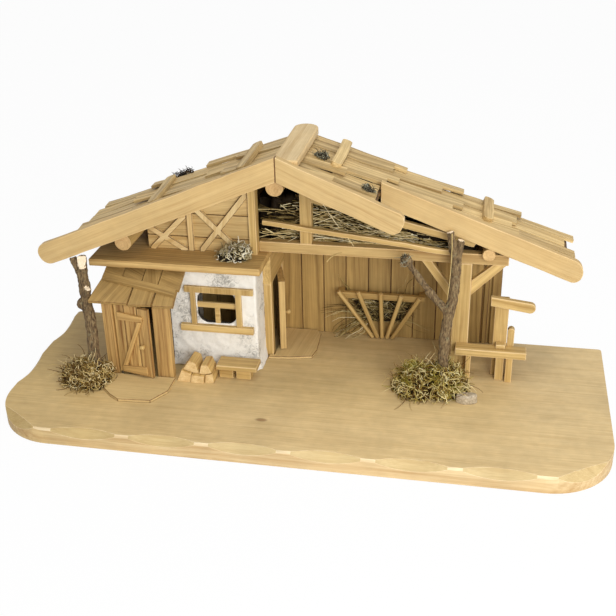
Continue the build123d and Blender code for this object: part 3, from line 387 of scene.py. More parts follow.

# %% [markdown]
# ## Boards from the frame
# Every timber already has its true shape in the frame, but with knife-sharp edges. A real board has edges
# broken by sandpaper and a face that wavers a little under the plane. A bump in the material could fake
# that, but an outline would stay straight. So each timber is copied, its loose triangles are merged, long
# boards are cut across with bisect so that they can bend, a Displace modifier with coloured clouds moves
# them by about a millimetre, and a Bevel modifier rounds the edges. The rounded strip gets its own
# finish: paler where hands rub, and darker in a joint, where the dark line is painted shade. Sawn ends may
# get a third one.

# %% Copies, modifiers and finishes
MERGE_MM = 0.002
FLAT = radians(0.4)


def only(piece):
    """Selects one object and makes it active."""
    bpy.ops.object.select_all(action="DESELECT")
    piece.hide_set(False)
    piece.select_set(True)
    bpy.context.view_layer.objects.active = piece


def copy_of(node, name):
    """A copy of a frame node with its triangles merged and its flat faces made whole."""
    only(frame["nodes"][node])
    bpy.ops.object.duplicate()
    piece = bpy.context.object
    piece.name = name
    del piece["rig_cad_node"]
    piece.data.materials.clear()
    bpy.ops.mesh.customdata_custom_splitnormals_clear()
    bpy.ops.object.mode_set(mode="EDIT")
    bpy.ops.mesh.select_all(action="SELECT")
    bpy.ops.mesh.remove_doubles(threshold=MERGE_MM * MM)
    bpy.ops.mesh.dissolve_limited(angle_limit=FLAT)
    bpy.ops.object.mode_set(mode="OBJECT")
    return piece


def joined(pieces):
    """Joins pieces into the first of them."""
    only(pieces[0])
    for piece in pieces[1:]:
        piece.select_set(True)
    bpy.ops.object.join()
    return pieces[0]


def apply(piece, kind, **settings):
    """Adds a modifier, sets it and applies it."""
    only(piece)
    modifier = piece.modifiers.new(kind.lower(), kind)
    for name, value in settings.items():
        setattr(modifier, name, value)
    bpy.ops.object.modifier_apply(modifier=modifier.name)


def clouds(name, size_mm, colour=False, depth=2):
    """A cloud texture for the Displace modifier, with lumps of a real size."""
    texture = bpy.data.textures.new(name, "CLOUDS")
    texture.noise_scale = size_mm * MM
    texture.noise_depth = depth
    texture.cloud_type = "COLOR" if colour else "GRAYSCALE"
    return texture


def lumpy(piece, texture, height_mm, middle=0.5):
    """Pushes each point in or out along its normal, by a cloud texture."""
    apply(
        piece, "DISPLACE", texture=texture, texture_coords="LOCAL", mid_level=middle, strength=height_mm * MM
    )


def dress(piece, *finishes):
    """Gives a piece its finishes and takes all others away."""
    piece.data.materials.clear()
    for finish in finishes:
        piece.data.materials.append(finish)


def refinish(piece, finish, chosen):
    """Gives one more finish to the faces that a test chooses."""
    piece.data.materials.append(finish)
    for face in piece.data.polygons:
        if chosen(face):
            face.material_index = len(piece.data.materials) - 1


def settle(piece, slot, *nodes, body="stable"):
    """Smooths a finished piece, hides the nodes that it stands for, and lets it ride; the slot is not used."""
    only(piece)
    bpy.ops.object.shade_smooth()
    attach(piece, body)
    if nodes:
        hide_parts(*nodes)


# %% [markdown]
# ### Grain on a mesh
# The grain of a board runs along its length, so the script has to find that length on slanting pieces too.
# It could be typed for every board, but the faces tell it: few of them look along a board, more look across
# it and most look through it. A node may hold many boards, and what hangs together is one board.

# %% Grain
SQUARE_RATIO = 1.3    # a panel whose sides differ by less says nothing about its length
UPRIGHT_BIAS = np.diag((0.1, 0.2, 0.0))
HEART_ALONG = (0.0, 2.0)    # where in its log a board may come from, in metres
HEART_ASIDE = (-0.03, 0.03)
HEART_DEPTH = (0.02, 0.07)
EDGE_FINISH = 1
END_FINISH = 2


def arrays(mesh):
    """Vertex places, face normals and face areas as arrays."""
    places = np.empty(len(mesh.vertices) * 3)
    mesh.vertices.foreach_get("co", places)
    normals = np.empty(len(mesh.polygons) * 3)
    mesh.polygons.foreach_get("normal", normals)
    areas = np.empty(len(mesh.polygons))
    mesh.polygons.foreach_get("area", areas)
    return places.reshape(-1, 3), normals.reshape(-1, 3), areas


def length_axes(normals, areas):
    """Directions along, across and through a board; the grain of a square panel is set upright."""
    spread = np.einsum("i,ij,ik->jk", areas, normals, normals)
    sizes, axes = np.linalg.eigh(spread)
    if sizes[1] < SQUARE_RATIO * sizes[0]:
        axes = np.linalg.eigh(spread + sizes[2] * UPRIGHT_BIAS)[1]
    return axes


def boards_of(mesh):
    """For each board of a mesh: which vertices and which faces belong to it."""
    group = np.arange(len(mesh.vertices))
    ends = np.empty(len(mesh.edges) * 2, int)
    mesh.edges.foreach_get("vertices", ends)
    first, second = ends.reshape(-1, 2).T
    before = None
    while before is None or (group != before).any():
        before = group.copy()
        low = np.minimum(group[first], group[second])
        np.minimum.at(group, first, low)
        np.minimum.at(group, second, low)
        group = group[group]
    face_group = group[[face.vertices[0] for face in mesh.polygons]]
    return [(group == board, face_group == board) for board in np.unique(group)]


def give_grain(piece, seed, round_wood=False, end_share=0.9):
    """Writes each board's own coordinates and shade on its vertices, and the third finish on its ends."""
    mesh = piece.data
    rng = np.random.default_rng(seed)
    places, normals, areas = arrays(mesh)
    grain = np.zeros_like(places)
    tone = np.zeros(len(places))
    finish = np.empty(len(areas), int)
    mesh.polygons.foreach_get("material_index", finish)
    for here, faces in boards_of(mesh):
        axes = length_axes(normals[faces], areas[faces])
        middle = (places[here].max(0) + places[here].min(0)) / 2
        heart = np.array([rng.uniform(*limits) for limits in (HEART_ALONG, HEART_ASIDE, HEART_DEPTH)])
        if round_wood:
            heart[1:] = 0.0
        grain[here] = (places[here] - middle) @ axes + heart
        tone[here] = rng.random()
        if len(mesh.materials) > END_FINISH:
            finish[faces & (np.abs(normals @ axes[:, 0]) > end_share)] = END_FINISH
    mesh.polygons.foreach_set("material_index", finish)
    mesh.attributes.new("grain", "FLOAT_VECTOR", "POINT").data.foreach_set("vector", grain.ravel())
    mesh.attributes.new("tone", "FLOAT", "POINT").data.foreach_set("value", tone)


# %% [markdown]
# ### Saw and hammer
# Three things happen to a board before it is nailed on: it is sawn, it bends, and thin boards never lie
# quite flat. A wide panel of the frame is sawn into upright boards by bisect. Shingles could be set by hand,
# one by one. Here each is lifted, rolled and narrowed by its own amount, with a random source that starts
# from the node's name, so that every run gives the same roof.

# %% Cutting and unsettling
SEAM_MM = 0.9


def cut(piece, planes, **settings):
    """Cuts a whole piece by planes, each given as a place and the way that the plane looks."""
    only(piece)
    bpy.ops.object.mode_set(mode="EDIT")
    for place, way in planes:
        bpy.ops.mesh.select_all(action="SELECT")
        bpy.ops.mesh.bisect(plane_co=place, plane_no=way, **settings)
    bpy.ops.object.mode_set(mode="OBJECT")


def cut_across(piece, step_mm):
    """Cuts a timber across its length every few millimetres, so that it can bend."""
    places, normals, areas = arrays(piece.data)
    along = length_axes(normals, areas)[:, 0]
    reach = places @ along
    stops = np.arange(reach.min() + step_mm * MM, reach.max(), step_mm * MM)
    cut(piece, [(along * stop, along) for stop in stops])


def sawn_up(node, name, count):
    """A copy of a wide panel, sawn into upright boards of even width."""
    low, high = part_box(node)
    stops = np.linspace(low.y, high.y, count + 1)
    pieces = []
    for i in range(count):
        piece = copy_of(node, name)
        planes = []
        for stop, way in ((i, 1.0), (i + 1, -1.0)):
            if 0 < stop < count:
                planes.append(((0, stops[stop] + way * SEAM_MM / 2 * MM, 0), (0, way, 0)))
        cut(piece, planes, use_fill=True, clear_inner=True)
        pieces.append(piece)
    return joined(pieces)


def unsettle(piece, seed, lift_mm, roll_mm, narrow_mm, fray_mm=0.0):
    """Lifts the lower end of each thin board, rolls it, narrows it, and may break its end off askew."""
    mesh = piece.data
    rng = np.random.default_rng(seed)
    places, normals, areas = arrays(mesh)
    for here, faces in boards_of(mesh):
        along, across, up = length_axes(normals[faces], areas[faces]).T
        along = along if along[2] < 0 else -along
        up = up if up[2] > 0 else -up
        own = places[here] - places[here].mean(0)
        down_share = (own @ along)[:, None] / np.ptp(own @ along) + 0.5
        side_share = 2 * (own @ across)[:, None] / np.ptp(own @ across)
        lift = rng.uniform(0.1, 1.0) * lift_mm * MM * down_share ** 2
        roll = rng.uniform(-1, 1) * roll_mm * MM
        sag = rng.uniform(0.3, 1.0) * narrow_mm * MM / 2
        places[here] += up * (lift + roll * side_share * down_share + abs(roll)) - across * side_share * sag
        if fray_mm:
            askew = rng.uniform(-0.3, 0.7) + 0.5 * rng.uniform(-1, 1) * side_share
            places[here] -= along * askew * fray_mm * MM * down_share ** 3
    mesh.vertices.foreach_set("co", places.ravel())
    mesh.update()


# %% Boards
WAVER = clouds("plane_waver", 38.0, colour=True, depth=1)
EDGE_ANGLE = radians(28)
NORMAL_WEIGHT = 60


def board(
    node, slot, face, edge, ends=None, ease_mm=0.7, step_mm=0.0, waver_mm=0.0, gaps=None, count=1, **grain
):
    """A timber with broken edges, grain, and a little waver; gaps are the sizes that unsettle it."""
    piece = sawn_up(node, node + "_eased", count) if count > 1 else copy_of(node, node + "_eased")
    seed = sum(map(ord, node))
    dress(piece, *(finish for finish in (face, edge, ends) if finish))
    if step_mm:
        cut_across(piece, step_mm)
    apply(
        piece, "BEVEL", width=ease_mm * MM, segments=2, limit_method="ANGLE", angle_limit=EDGE_ANGLE,
        material=EDGE_FINISH,
    )
    give_grain(piece, seed, **grain)
    if gaps:
        unsettle(piece, seed, *gaps)
    if waver_mm:
        apply(
            piece, "DISPLACE", texture=WAVER, texture_coords="LOCAL", direction="RGB_TO_XYZ",
            mid_level=0.5, strength=2 * waver_mm * MM,
        )
    settle(piece, slot, node, body=frame["nodes"][node]["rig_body"])
    apply(piece, "WEIGHTED_NORMAL", keep_sharp=True, weight=NORMAL_WEIGHT)
    return piece


# %% [markdown]
# ### Roof
# The barge boards and the ridge cap are thick boards with rounded ends, and shade is painted where the two
# front ones meet. The shingles are thin split boards with dark gaps between them, held down by short
# battens. The shed's roof is rougher: its lowest boards end askew. All are boards of the frame, so the roof
# needs only the sizes of its bends and gaps.

# %% Roof timbers
JOINT_MM = 1.2    # how far the painted shade reaches from the joint of the barge boards
SHINGLE_GAPS = (3.0, 0.8, 3.6)
SHED_LOW_GAPS = (1.6, 0.5, 1.4, 3.6)
SHED_HIGH_GAPS = (0.0, 0.3, 1.2)

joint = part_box("right_front_barge_board")[0].x
for node in ("left_barge_board", "right_front_barge_board", "right_rear_barge_board"):
    piece = board(
        node, "roof_wood", BARGE, RUBBED, FRESH, ease_mm=0.9, step_mm=14, waver_mm=0.7, end_share=0.62
    )
    # The joint of the two front barge boards gets painted shade.
    refinish(piece, JOINT_SHADE, lambda face: abs(face.center.x - joint) < JOINT_MM * MM)
board("ridge_cap", "roof_wood", CAP, RUBBED, ease_mm=1.4, step_mm=14, waver_mm=0.9)
for node in ("left_shingles", "right_shingles"):
    board(node, "roof_wood", SHINGLE, SHINGLE, ease_mm=0.4, step_mm=12, waver_mm=0.8, gaps=SHINGLE_GAPS)
# The undersides of the roof boards take painted shade.
for node in ("left_roof_boards", "right_roof_boards"):
    piece = board(node, "roof_wood", UNDERSIDE, UNDERSIDE, ease_mm=0.4)
    refinish(piece, WALL, lambda face: abs(face.normal.z) < 0.5)
board("roof_weights", "roof_wood", SHINGLE, RUBBED, ease_mm=1.2, step_mm=10, waver_mm=0.9)
# The edges of the shed's lower and upper roof boards get painted shade.
for node, edge, gaps in (
    ("shed_roof_lower", JOINT_SHADE, SHED_LOW_GAPS),
    ("shed_roof_upper", JOINT_SHADE, SHED_HIGH_GAPS),
    ("shed_roof_lath", SHED, None),
):
    board(node, "roof_wood", SHED, edge, ease_mm=0.5, step_mm=12, waver_mm=0.6, gaps=gaps)

# %% [markdown]
# ### Walls, frame and doors
# Posts, beams and rails are sawn square. The rear wall is browner than the frame, partly smoked wood and
# partly painted shade for wood out of the light, its joints get painted shade, and the doors are of rough
# planks with stronger stripes. The shed's side is one panel in the frame and is sawn into five boards, with
# painted shade on their inner side. One finish for all would be simpler, but then no piece would stand out
# from its neighbour.

# %% Frame timbers
EASE_MM = {
    "door_jambs": 0.9, "door_lintel": 0.9, "window_casing": 0.5, "window_sill": 0.5, "window_bars": 0.5,
    "shed_lintel": 0.8, "upper_posts": 0.7, "loft_floor": 0.6, "loft_rafter": 0.8, "right_post": 1.1,
    "right_braces": 0.7, "fence_rails": 0.9, "fence_posts": 0.8, "rack_sticks": 0.4, "bench_seat": 0.8,
    "bench_legs": 0.6,
}
for node, ease in EASE_MM.items():
    board(node, "frame_wood", FRAME, RUBBED, ease_mm=ease)
for node in ("ridge_purlin", "side_purlins"):
    board(node, "frame_wood", FRAME, RUBBED, LOG_END, ease_mm=0.9, round_wood=True)
board("firewood", "frame_wood", FRAME, POST, RUBBED, ease_mm=0.6, step_mm=6, waver_mm=0.7)
# The edges of the gable's boards and strips get painted shade.
board("gable_boards", "frame_wood", GABLE, JOINT_SHADE, ease_mm=0.4)
board("gable_strips", "frame_wood", STRIP, JOINT_SHADE, ease_mm=0.5)
board("loft_beam", "frame_wood", BEAM, RUBBED, ease_mm=1.0)
# The rack's rail takes the brown wall finish as painted shade, since it lies in shadow.
board("rack_rail", "frame_wood", WALL, WALL, ease_mm=0.6)
board("loft_rail", "frame_wood", FRAME, RUBBED, FRESH, ease_mm=0.9, step_mm=9, waver_mm=1.2)
board("shelf_board", "frame_wood", SHELF, SHELF, ease_mm=1.1, step_mm=12, waver_mm=0.6)
board("shed_posts", "frame_wood", POST, POST, ease_mm=1.0)

# %% Walls and doors
# The edges of the planks and doors get painted shade, a dark line in each joint.
board("rear_wall_planks", "wall_wood", WALL, JOINT_SHADE, ease_mm=0.5)
shed_wall = board("shed_left_wall", "wall_wood", WALL, JOINT_SHADE, ease_mm=0.7, count=5)
# The inner side of the shed's wall takes painted shade.
refinish(shed_wall, UNDERSIDE, lambda face: face.normal.x > 0.5)
board("house_door_leaf", "door_wood", BEAM, JOINT_SHADE, ease_mm=0.5)
board("shed_door_planks", "door_wood", DOOR, JOINT_SHADE, ease_mm=0.5)
board("shed_door_braces", "door_wood", POST, POST, ease_mm=0.5)
for node in ("house_door_knob", "shed_door_knob"):
    board(node, "door_wood", FRAME, RUBBED, ease_mm=0.2)

# %% [markdown]
# ### Base board
# The base is one wide board, and its rim was gouged with long shallow cuts. Where two cuts meet, the old
# corner of the board is left over as a small pale facet. The facets could be cut one by one, but a single
# bisect along the front edge makes them all, because only the high places between the cuts reach its
# plane. The top, the cuts and the sawn rim below them have finishes of their own, chosen by the way a face
# looks, and the crests between them get a narrow pale bevel.

# %% Base board
FACET_MM = 1.9
FACET_WAY = Vector((0, -1, 1)).normalized()
CREST_MM = 0.8
UPRIGHT = 0.1    # a face that looks up or down by less belongs to the rim
LEVEL = 0.97     # a face that looks up by more belongs to the top
TOP, CRESTS, SCOOPS, RIMS = range(4)

base = board("base_board", "base_wood", BASE, FRESH, ease_mm=0.9)
base_low, base_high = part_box("base_board")
facet_place = Vector((0, base_low.y, base_high.z)) - FACET_WAY * FACET_MM * MM
cut(base, [(facet_place, FACET_WAY)], clear_outer=True, use_fill=True)
for face in base.data.polygons:
    if abs((face.center - facet_place).dot(FACET_WAY)) < 0.05 * MM and face.normal.y < -0.5:
        face.material_index = CRESTS
refinish(base, SCOOP, lambda face: face.material_index == TOP and UPRIGHT <= abs(face.normal.z) < LEVEL)
refinish(base, RIM, lambda face: face.material_index == TOP and abs(face.normal.z) < UPRIGHT)
print("base faces by finish:", np.bincount([face.material_index for face in base.data.polygons]))

# %% Crests and door steps
meets = {}
for face in base.data.polygons:
    for key in face.edge_keys:
        meets.setdefault(key, set()).add(face.material_index)
only(base)
bpy.ops.object.mode_set(mode="EDIT")
bpy.ops.mesh.select_mode(type="EDGE")
bpy.ops.mesh.select_all(action="DESELECT")
bpy.ops.object.mode_set(mode="OBJECT")
for edge in base.data.edges:
    edge.select = meets[edge.key] in ({TOP, SCOOPS}, {SCOOPS, RIMS})
bpy.ops.object.mode_set(mode="EDIT")
bpy.ops.mesh.bevel(offset=CREST_MM * MM, segments=1, affect="EDGES", material=CRESTS)
bpy.ops.object.mode_set(mode="OBJECT")
only(base)
bpy.ops.mesh.customdata_custom_splitnormals_clear()
apply(base, "WEIGHTED_NORMAL", keep_sharp=True, weight=NORMAL_WEIGHT)
# The edges of the door steps get painted shade.
board("door_steps", "base_wood", STEP, JOINT_SHADE, ease_mm=0.6)
print("base:", len(base.data.polygons), "faces")

# %% [markdown]
# ## Plaster
# The house walls are coarse lime plaster brushed with white, and grey shows where the brush missed. Three
# boxes with a rough material would keep their knife edges. So the walls are joined and remeshed, which
# rounds their corners into one skin, and two Displace modifiers raise trowel lumps and grit. The rooms
# behind the window and behind the shed's door lie in deep shade, so the skin on those sides gets painted
# shade, nearly black.

# %% Plaster finishes
SMEAR_MM = 6.0
PATCH_MM = 36.0
INNER_SHADE_MM = 20.0


def mottled(name, grain_mm, stops, roughness, **noise):
    """A finish of cloudy shades with grains of a real size."""
    material, tree, shader = blank(name)
    place = add(tree, "TexCoord", out="Object")
    cloud = {"Vector": place, "Scale": 1 / (grain_mm * MM), "Detail": 3.0, **noise}
    grains = add(tree, "TexNoise", cloud, "Fac")
    colour = add(tree, "ValToRGB", {"Fac": grains}, "Color", stops)
    give(shader, {"Base Color": colour, "Roughness": roughness})
    return material


# Brushed lime: chalky white that scatters the light, with grey smears in broad patches.
plaster, tree, shader = blank("lime_plaster")
place = add(tree, "TexCoord", out="Object")
brush = {"Scale": 1 / (SMEAR_MM * MM), "Detail": 7.0, "Roughness": 0.7, "Distortion": 1.6}
smear = add(tree, "TexNoise", {"Vector": place, **brush}, "Fac")
patch = add(tree, "TexNoise", {"Vector": place, "Scale": 1 / (PATCH_MM * MM), "Detail": 2.0}, "Fac")
both = add(tree, "Math", {0: patch, 1: 0.9, 2: smear}, 0, operation="MULTIPLY_ADD")
missed = add(tree, "MapRange", {"Value": both, "From Min": 0.93, "From Max": 1.2}, 0)
whites = ((0.0, "#E8E4DA"), (0.4, "#DCD8CE"), (1.0, "#9A978E"))
colour = add(tree, "ValToRGB", {"Fac": missed}, "Color", whites)
bump = add(tree, "Bump", {"Height": smear, "Strength": 0.8, "Distance": 0.6 * MM}, 0)
give(shader, {"Base Color": colour, "Roughness": 0.92, "Normal": bump})
# Painted shade on plaster: nearly black, so that a room looks deep through a gap.
inner_shade = mottled("painted_shade_plaster", INNER_SHADE_MM, ((0.0, "#17110B"), (1.0, "#372C1E")), 0.95)
print("plaster finishes:", plaster.name, inner_shade.name)

# %% Plaster walls
LUMP_MM = 11.0
GRIT_MM = 2.6
WALL_VOXEL_MM = 1.4
SKIN_MM = 6.5    # depth of the plaster in front of a room with painted shade
WALLS = ("house_front_wall", "house_side_wall", "house_left_wall")

skin = joined([copy_of(node, "plaster_" + node) for node in WALLS])
skin.name = "plaster_walls"
apply(skin, "REMESH", mode="VOXEL", voxel_size=WALL_VOXEL_MM * MM)
apply(skin, "SMOOTH", factor=0.5, iterations=3)
lumpy(skin, clouds("trowel_lumps", LUMP_MM), 2.3, middle=0.55)
lumpy(skin, clouds("plaster_grit", GRIT_MM), 0.6)
dress(skin, plaster)
front_low, front_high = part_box("house_front_wall")
room_low = front_low + Vector((SKIN_MM, SKIN_MM, 0)) * MM
room_right = front_high.x - SKIN_MM * MM
room_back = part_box("house_side_wall")[1].y - 2 * MM
shed_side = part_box("house_left_wall")[0].x + SKIN_MM / 2 * MM


def in_painted_shade(face):
    """Tells whether a face of the walls looks into the room or into the shed."""
    in_room = room_low.x < face.center.x < room_right and room_low.y < face.center.y < room_back
    return in_room or (face.center.x < shed_side and face.center.y > front_low.y)


refinish(skin, inner_shade, in_painted_shade)
settle(skin, "plaster", *WALLS)
print("plaster:", len(skin.data.polygons), "faces")

# %% [markdown]
# ## Trees
# The two trees are real twigs with their bark on, sawn off flat, so the sawn ends are pale. Bark could be a
# bump on a smooth stick, but twigs are seen against the white background, where a smooth outline would give
# them away. So the frame's smooth sticks are remeshed finely and every point is pushed in or out along its
# normal: knobs first, then ridges and scales of bark.

# %% Bark and sawn wood
RIDGE_MM = 1.8
RIDGE_LENGTH_MM = 7.2
CRUST_MM = 6.0

# Bark: dull brown ridges along the twig, with grey-green crusts here and there.
bark, tree, shader = blank("grey_twig_bark")
place = add(tree, "TexCoord", out="Object")
upright = (1 / (RIDGE_MM * MM), 1 / (RIDGE_MM * MM), 1 / (RIDGE_LENGTH_MM * MM))
stretched = add(tree, "VectorMath", {0: place, 1: upright}, 0, operation="MULTIPLY")
furrows = {"Vector": stretched, "Scale": 1.0, "Detail": 5.0, "Roughness": 0.65}
ridges = add(tree, "TexNoise", furrows, "Fac")
browns = ((0.34, "#362817"), (0.52, "#6E583A"), (0.70, "#948059"))
brown = add(tree, "ValToRGB", {"Fac": ridges}, "Color", browns)
scales = add(tree, "TexNoise", {"Vector": place, "Scale": 1 / (CRUST_MM * MM), "Detail": 3.0}, "Fac")
crust = add(tree, "MapRange", {"Value": scales, "From Min": 0.58, "From Max": 0.72, "To Max": 0.5}, 0)
colour = add(tree, "Mix", {0: crust, 6: brown, 7: tint("#8F8866")}, 2, data_type="RGBA")
bump = add(tree, "Bump", {"Height": ridges, "Strength": 0.9, "Distance": 0.9 * MM}, 0)
give(shader, {"Base Color": colour, "Roughness": 0.9, "Normal": bump})
# Sawn twig: a pale cream spot on the dark bark.
sawn = mottled("sawn_twig_end", 1.6, ((0.0, "#DCC096"), (1.0, "#F6E8D0")), 0.8)
print("twig finishes:", bark.name, sawn.name)

# %% Twigs
BARK_KNOBS = clouds("bark_knobs", 13.0, depth=1)
BARK_RIDGES = clouds("bark_ridges", 3.0, depth=3)
TWIG_VOXEL_MM = 0.9
CUT_DEPTH_MM = 2.5
# Sawn ends: the middle of the cut, the way it looks, and its reach in millimetres.
LEFT_CUTS = (((-264.8, -11.5, 168.5), (0.15, -0.8, 0.55), 8.5), ((-256.5, -20, 138), (0.3, -0.2, 1), 5))
RIGHT_CUTS = (((158.2, 43, 209.5), (-0.3, 0, 1), 7), ((171.5, 42, 201), (0.2, 0, 1), 6))


def twig(node, cuts):
    """A barked twig with pale sawn ends."""
    piece = copy_of(node, node + "_twig")
    apply(piece, "REMESH", mode="VOXEL", voxel_size=TWIG_VOXEL_MM * MM)
    apply(piece, "SMOOTH", factor=0.5, iterations=2)
    lumpy(piece, BARK_KNOBS, 2.6)
    lumpy(piece, BARK_RIDGES, 1.5)
    dress(piece, bark)

    def on_cut(face):
        for middle, way, reach in cuts:
            way = Vector(way).normalized()
            offset = face.center - Vector(middle) * MM
            near = offset.length < reach * MM and offset.dot(way) > -CUT_DEPTH_MM * MM
            if near and face.normal.dot(way) > 0.6:
                return True
        return False

    refinish(piece, sawn, on_cut)
    settle(piece, "bark", node)
    return piece


left_twig = twig("left_tree", LEFT_CUTS)
right_twig = twig("right_tree", RIGHT_CUTS)
print("twigs:", len(left_twig.data.polygons), "and", len(right_twig.data.polygons), "faces")

# %% [markdown]
# ## Moss, lichen and straw
# Dried moss and lichen are tangles of curled strands, and straw is long split stalks. Hair particles would
# grow them quickly, but they aren't meshes. Here each strand is one spline of a curve with a round section,
# hundreds share a curve, and the curve becomes a mesh of few faces. The strands grow from the frame's own
# solids, so each tuft keeps its place. A dark lumpy core fills the gaps between the strands, which is what
# gives a tangle its depth. Each strand takes its own shade, as dry plants do.

# %% Strand finishes
DUST_MM = 7.0
PATCH_OF_MOSS_MM = 26.0
DRY_SHINE = 0.12


def strands_finish(name, colours, patches=None, roughness=0.75):
    """Dry plant strands: each one takes its own shade from a ramp, and patches may be of another colour."""
    material, tree, shader = blank(name)
    each = add(tree, "NewGeometry", out="Random Per Island")
    place = add(tree, "TexCoord", out="Object")
    dust = add(tree, "TexNoise", {"Vector": place, "Scale": 1 / (DUST_MM * MM), "Detail": 3.0}, "Fac")
    mixed = add(tree, "Math", {0: dust, 1: 0.6, 2: -0.3}, 0, operation="MULTIPLY_ADD")
    pick = add(tree, "Math", {0: each, 1: mixed}, 0, operation="ADD", use_clamp=True)
    stops = [(i / (len(colours) - 1), colour) for i, colour in enumerate(colours)]
    colour = add(tree, "ValToRGB", {"Fac": pick}, "Color", stops)
    if patches:
        scale = 1 / (PATCH_OF_MOSS_MM * MM)
        field = add(tree, "TexNoise", {"Vector": place, "Scale": scale, "Detail": 1.0}, "Fac")
        limits = {"Value": field, "From Min": 0.48, "From Max": 0.62, "To Max": 0.5}
        share = add(tree, "MapRange", limits, 0)
        colour = add(tree, "Mix", {0: share, 6: colour, 7: tint(patches)}, 2, data_type="RGBA")
    give(shader, {"Base Color": colour, "Roughness": roughness, "Specular IOR Level": DRY_SHINE})
    return material


# Dried moss: from brown to straw yellow, with patches that are still green.
MOSS = strands_finish(
    "dried_moss", ("#33240C", "#6E5224", "#9C843C", "#C8B46C", "#EADDA8"), patches="#98902A"
)
# Older moss: browner all over.
BROWN_MOSS = strands_finish("brown_moss", ("#35260E", "#6F5326", "#A08344", "#CDB476", "#EEDDAE"))
# Moss stems: fine brown lines that stick out.
STEMS = strands_finish("dry_moss_stems", ("#4A2E14", "#7C5A30", "#B49A60", "#E2D2A0"))
# The inside of the moss: shadow.
MOSS_CORE = strands_finish("moss_shadow", ("#21180A", "#33270F"))
# Lichen: grey beige to nearly white, paler than the moss.
LICHEN = strands_finish("grey_lichen", ("#443820", "#7E6E4A", "#B0A27A", "#DED3AE", "#F8F2E0"))
# The inside of the lichen: shadow.
LICHEN_CORE = strands_finish("lichen_shadow", ("#17120B", "#2A2317"))
# Lichen on the roof and on the branch: smoky grey green.
ROOF_LICHEN = strands_finish("grey_roof_lichen", ("#231C14", "#4A4334", "#7C7862", "#B4B49E"))
# Moss on the left of the roof: almost black on the pale shingles.
DARK_MOSS = strands_finish("black_roof_moss", ("#1A130C", "#3A2D20", "#6A5A46"))
# New straw: pale and a little glossy.
STRAW = strands_finish("barley_straw", ("#A0874C", "#D2B97E", "#EEDCA8", "#F8ECC8"), roughness=0.5)
# Old straw: dull brown, behind the new.
OLD_STRAW = strands_finish("dull_old_straw", ("#241A0A", "#4C3A1A", "#84703E", "#C8B27C"), roughness=0.6)
# Hay: finer than straw, and a duller yellow.
HAY = strands_finish("meadow_hay", ("#6A5A32", "#A28E56", "#CDBA86", "#EADDB6"), roughness=0.6)
# The inside of straw and hay: shadow.
STRAW_CORE = strands_finish("straw_shadow", ("#150F07", "#281D0E"))
print("materials so far:", len(bpy.data.materials))

# %% Helpers for strands
CORE_VOXEL_MM = 2.0
CORE_LUMP_MM = 7.0


def strand_mesh(name, lines, thickness_mm, material, slot):
    """One mesh from many strands that grow thinner; each line is a list of points in metres."""
    curve = bpy.data.curves.new(name, "CURVE")
    curve.dimensions = "3D"
    curve.bevel_depth = thickness_mm / 2 * MM
    curve.bevel_resolution = 0
    curve.use_fill_caps = True
    for line in lines:
        spline = curve.splines.new("POLY")
        spline.points.add(len(line) - 1)
        for i, point in enumerate(line):
            spline.points[i].co = (*point, 1.0)
            spline.points[i].radius = 1.0 - 0.5 * i / (len(line) - 1)
    piece = bpy.data.objects.new(name, curve)
    bpy.context.scene.collection.objects.link(piece)
    only(piece)
    bpy.ops.object.convert(target="MESH")
    piece = bpy.context.object
    dress(piece, material)
    settle(piece, slot)
    return piece


def core(node, name, shrink_mm, material, slot):
    """A lumpy dark body just inside a frame node."""
    piece = copy_of(node, name)
    apply(piece, "REMESH", mode="VOXEL", voxel_size=CORE_VOXEL_MM * MM)
    lumpy(piece, clouds(name + "_lumps", CORE_LUMP_MM), shrink_mm, middle=1.0)
    apply(piece, "DISPLACE", mid_level=0.0, strength=-0.4 * shrink_mm * MM)
    dress(piece, material)
    settle(piece, slot, node)
    return piece


def surface_points(node, count, rng):
    """Points spread evenly over a frame node, and the way its surface looks there."""
    mesh = frame["nodes"][node].data
    places, normals, areas = arrays(mesh)
    up = areas * (normals[:, 2] > -0.2)
    points = []
    for face in rng.choice(len(areas), size=count, p=up / up.sum()):
        a, b, c = (places[i] for i in mesh.polygons[face].vertices)
        u, v = rng.random(2)
        if u + v > 1:
            u, v = 1 - u, 1 - v
        points.append((a + u * (b - a) + v * (c - a), normals[face]))
    return points


def unit(vector):
    """The same direction, one metre long."""
    return np.asarray(vector) / np.linalg.norm(vector)


def ball_points(middle_mm, radius_mm, count, rng):
    """Points on a ball, for strands on a knob that is no node of its own."""
    ways = [unit(rng.normal(0, 1, 3)) for i in range(count)]
    return [((np.array(middle_mm) + way * radius_mm) * MM, way) for way in ways]


# %% Curled strands
NO_END = 1.0    # in metres, further right than anything


def curl(start, heading, length_mm, turn, rng, steps, lowest):
    """Points of one strand that curls round its own axis by a whole turn in radians."""
    way = unit(heading)
    axis = unit(np.cross(way, rng.normal(0, 1, 3)))
    line = [np.array(start)]
    for i in range(steps):
        angle = turn / steps * rng.uniform(0.5, 1.5)
        way = unit(way * cos(angle) + np.cross(axis, way) * sin(angle))
        axis = unit(axis + rng.normal(0, 0.25, 3))
        point = line[-1] + way * length_mm * MM / steps
        point[2] = max(point[2], lowest)
        line.append(point)
    return line


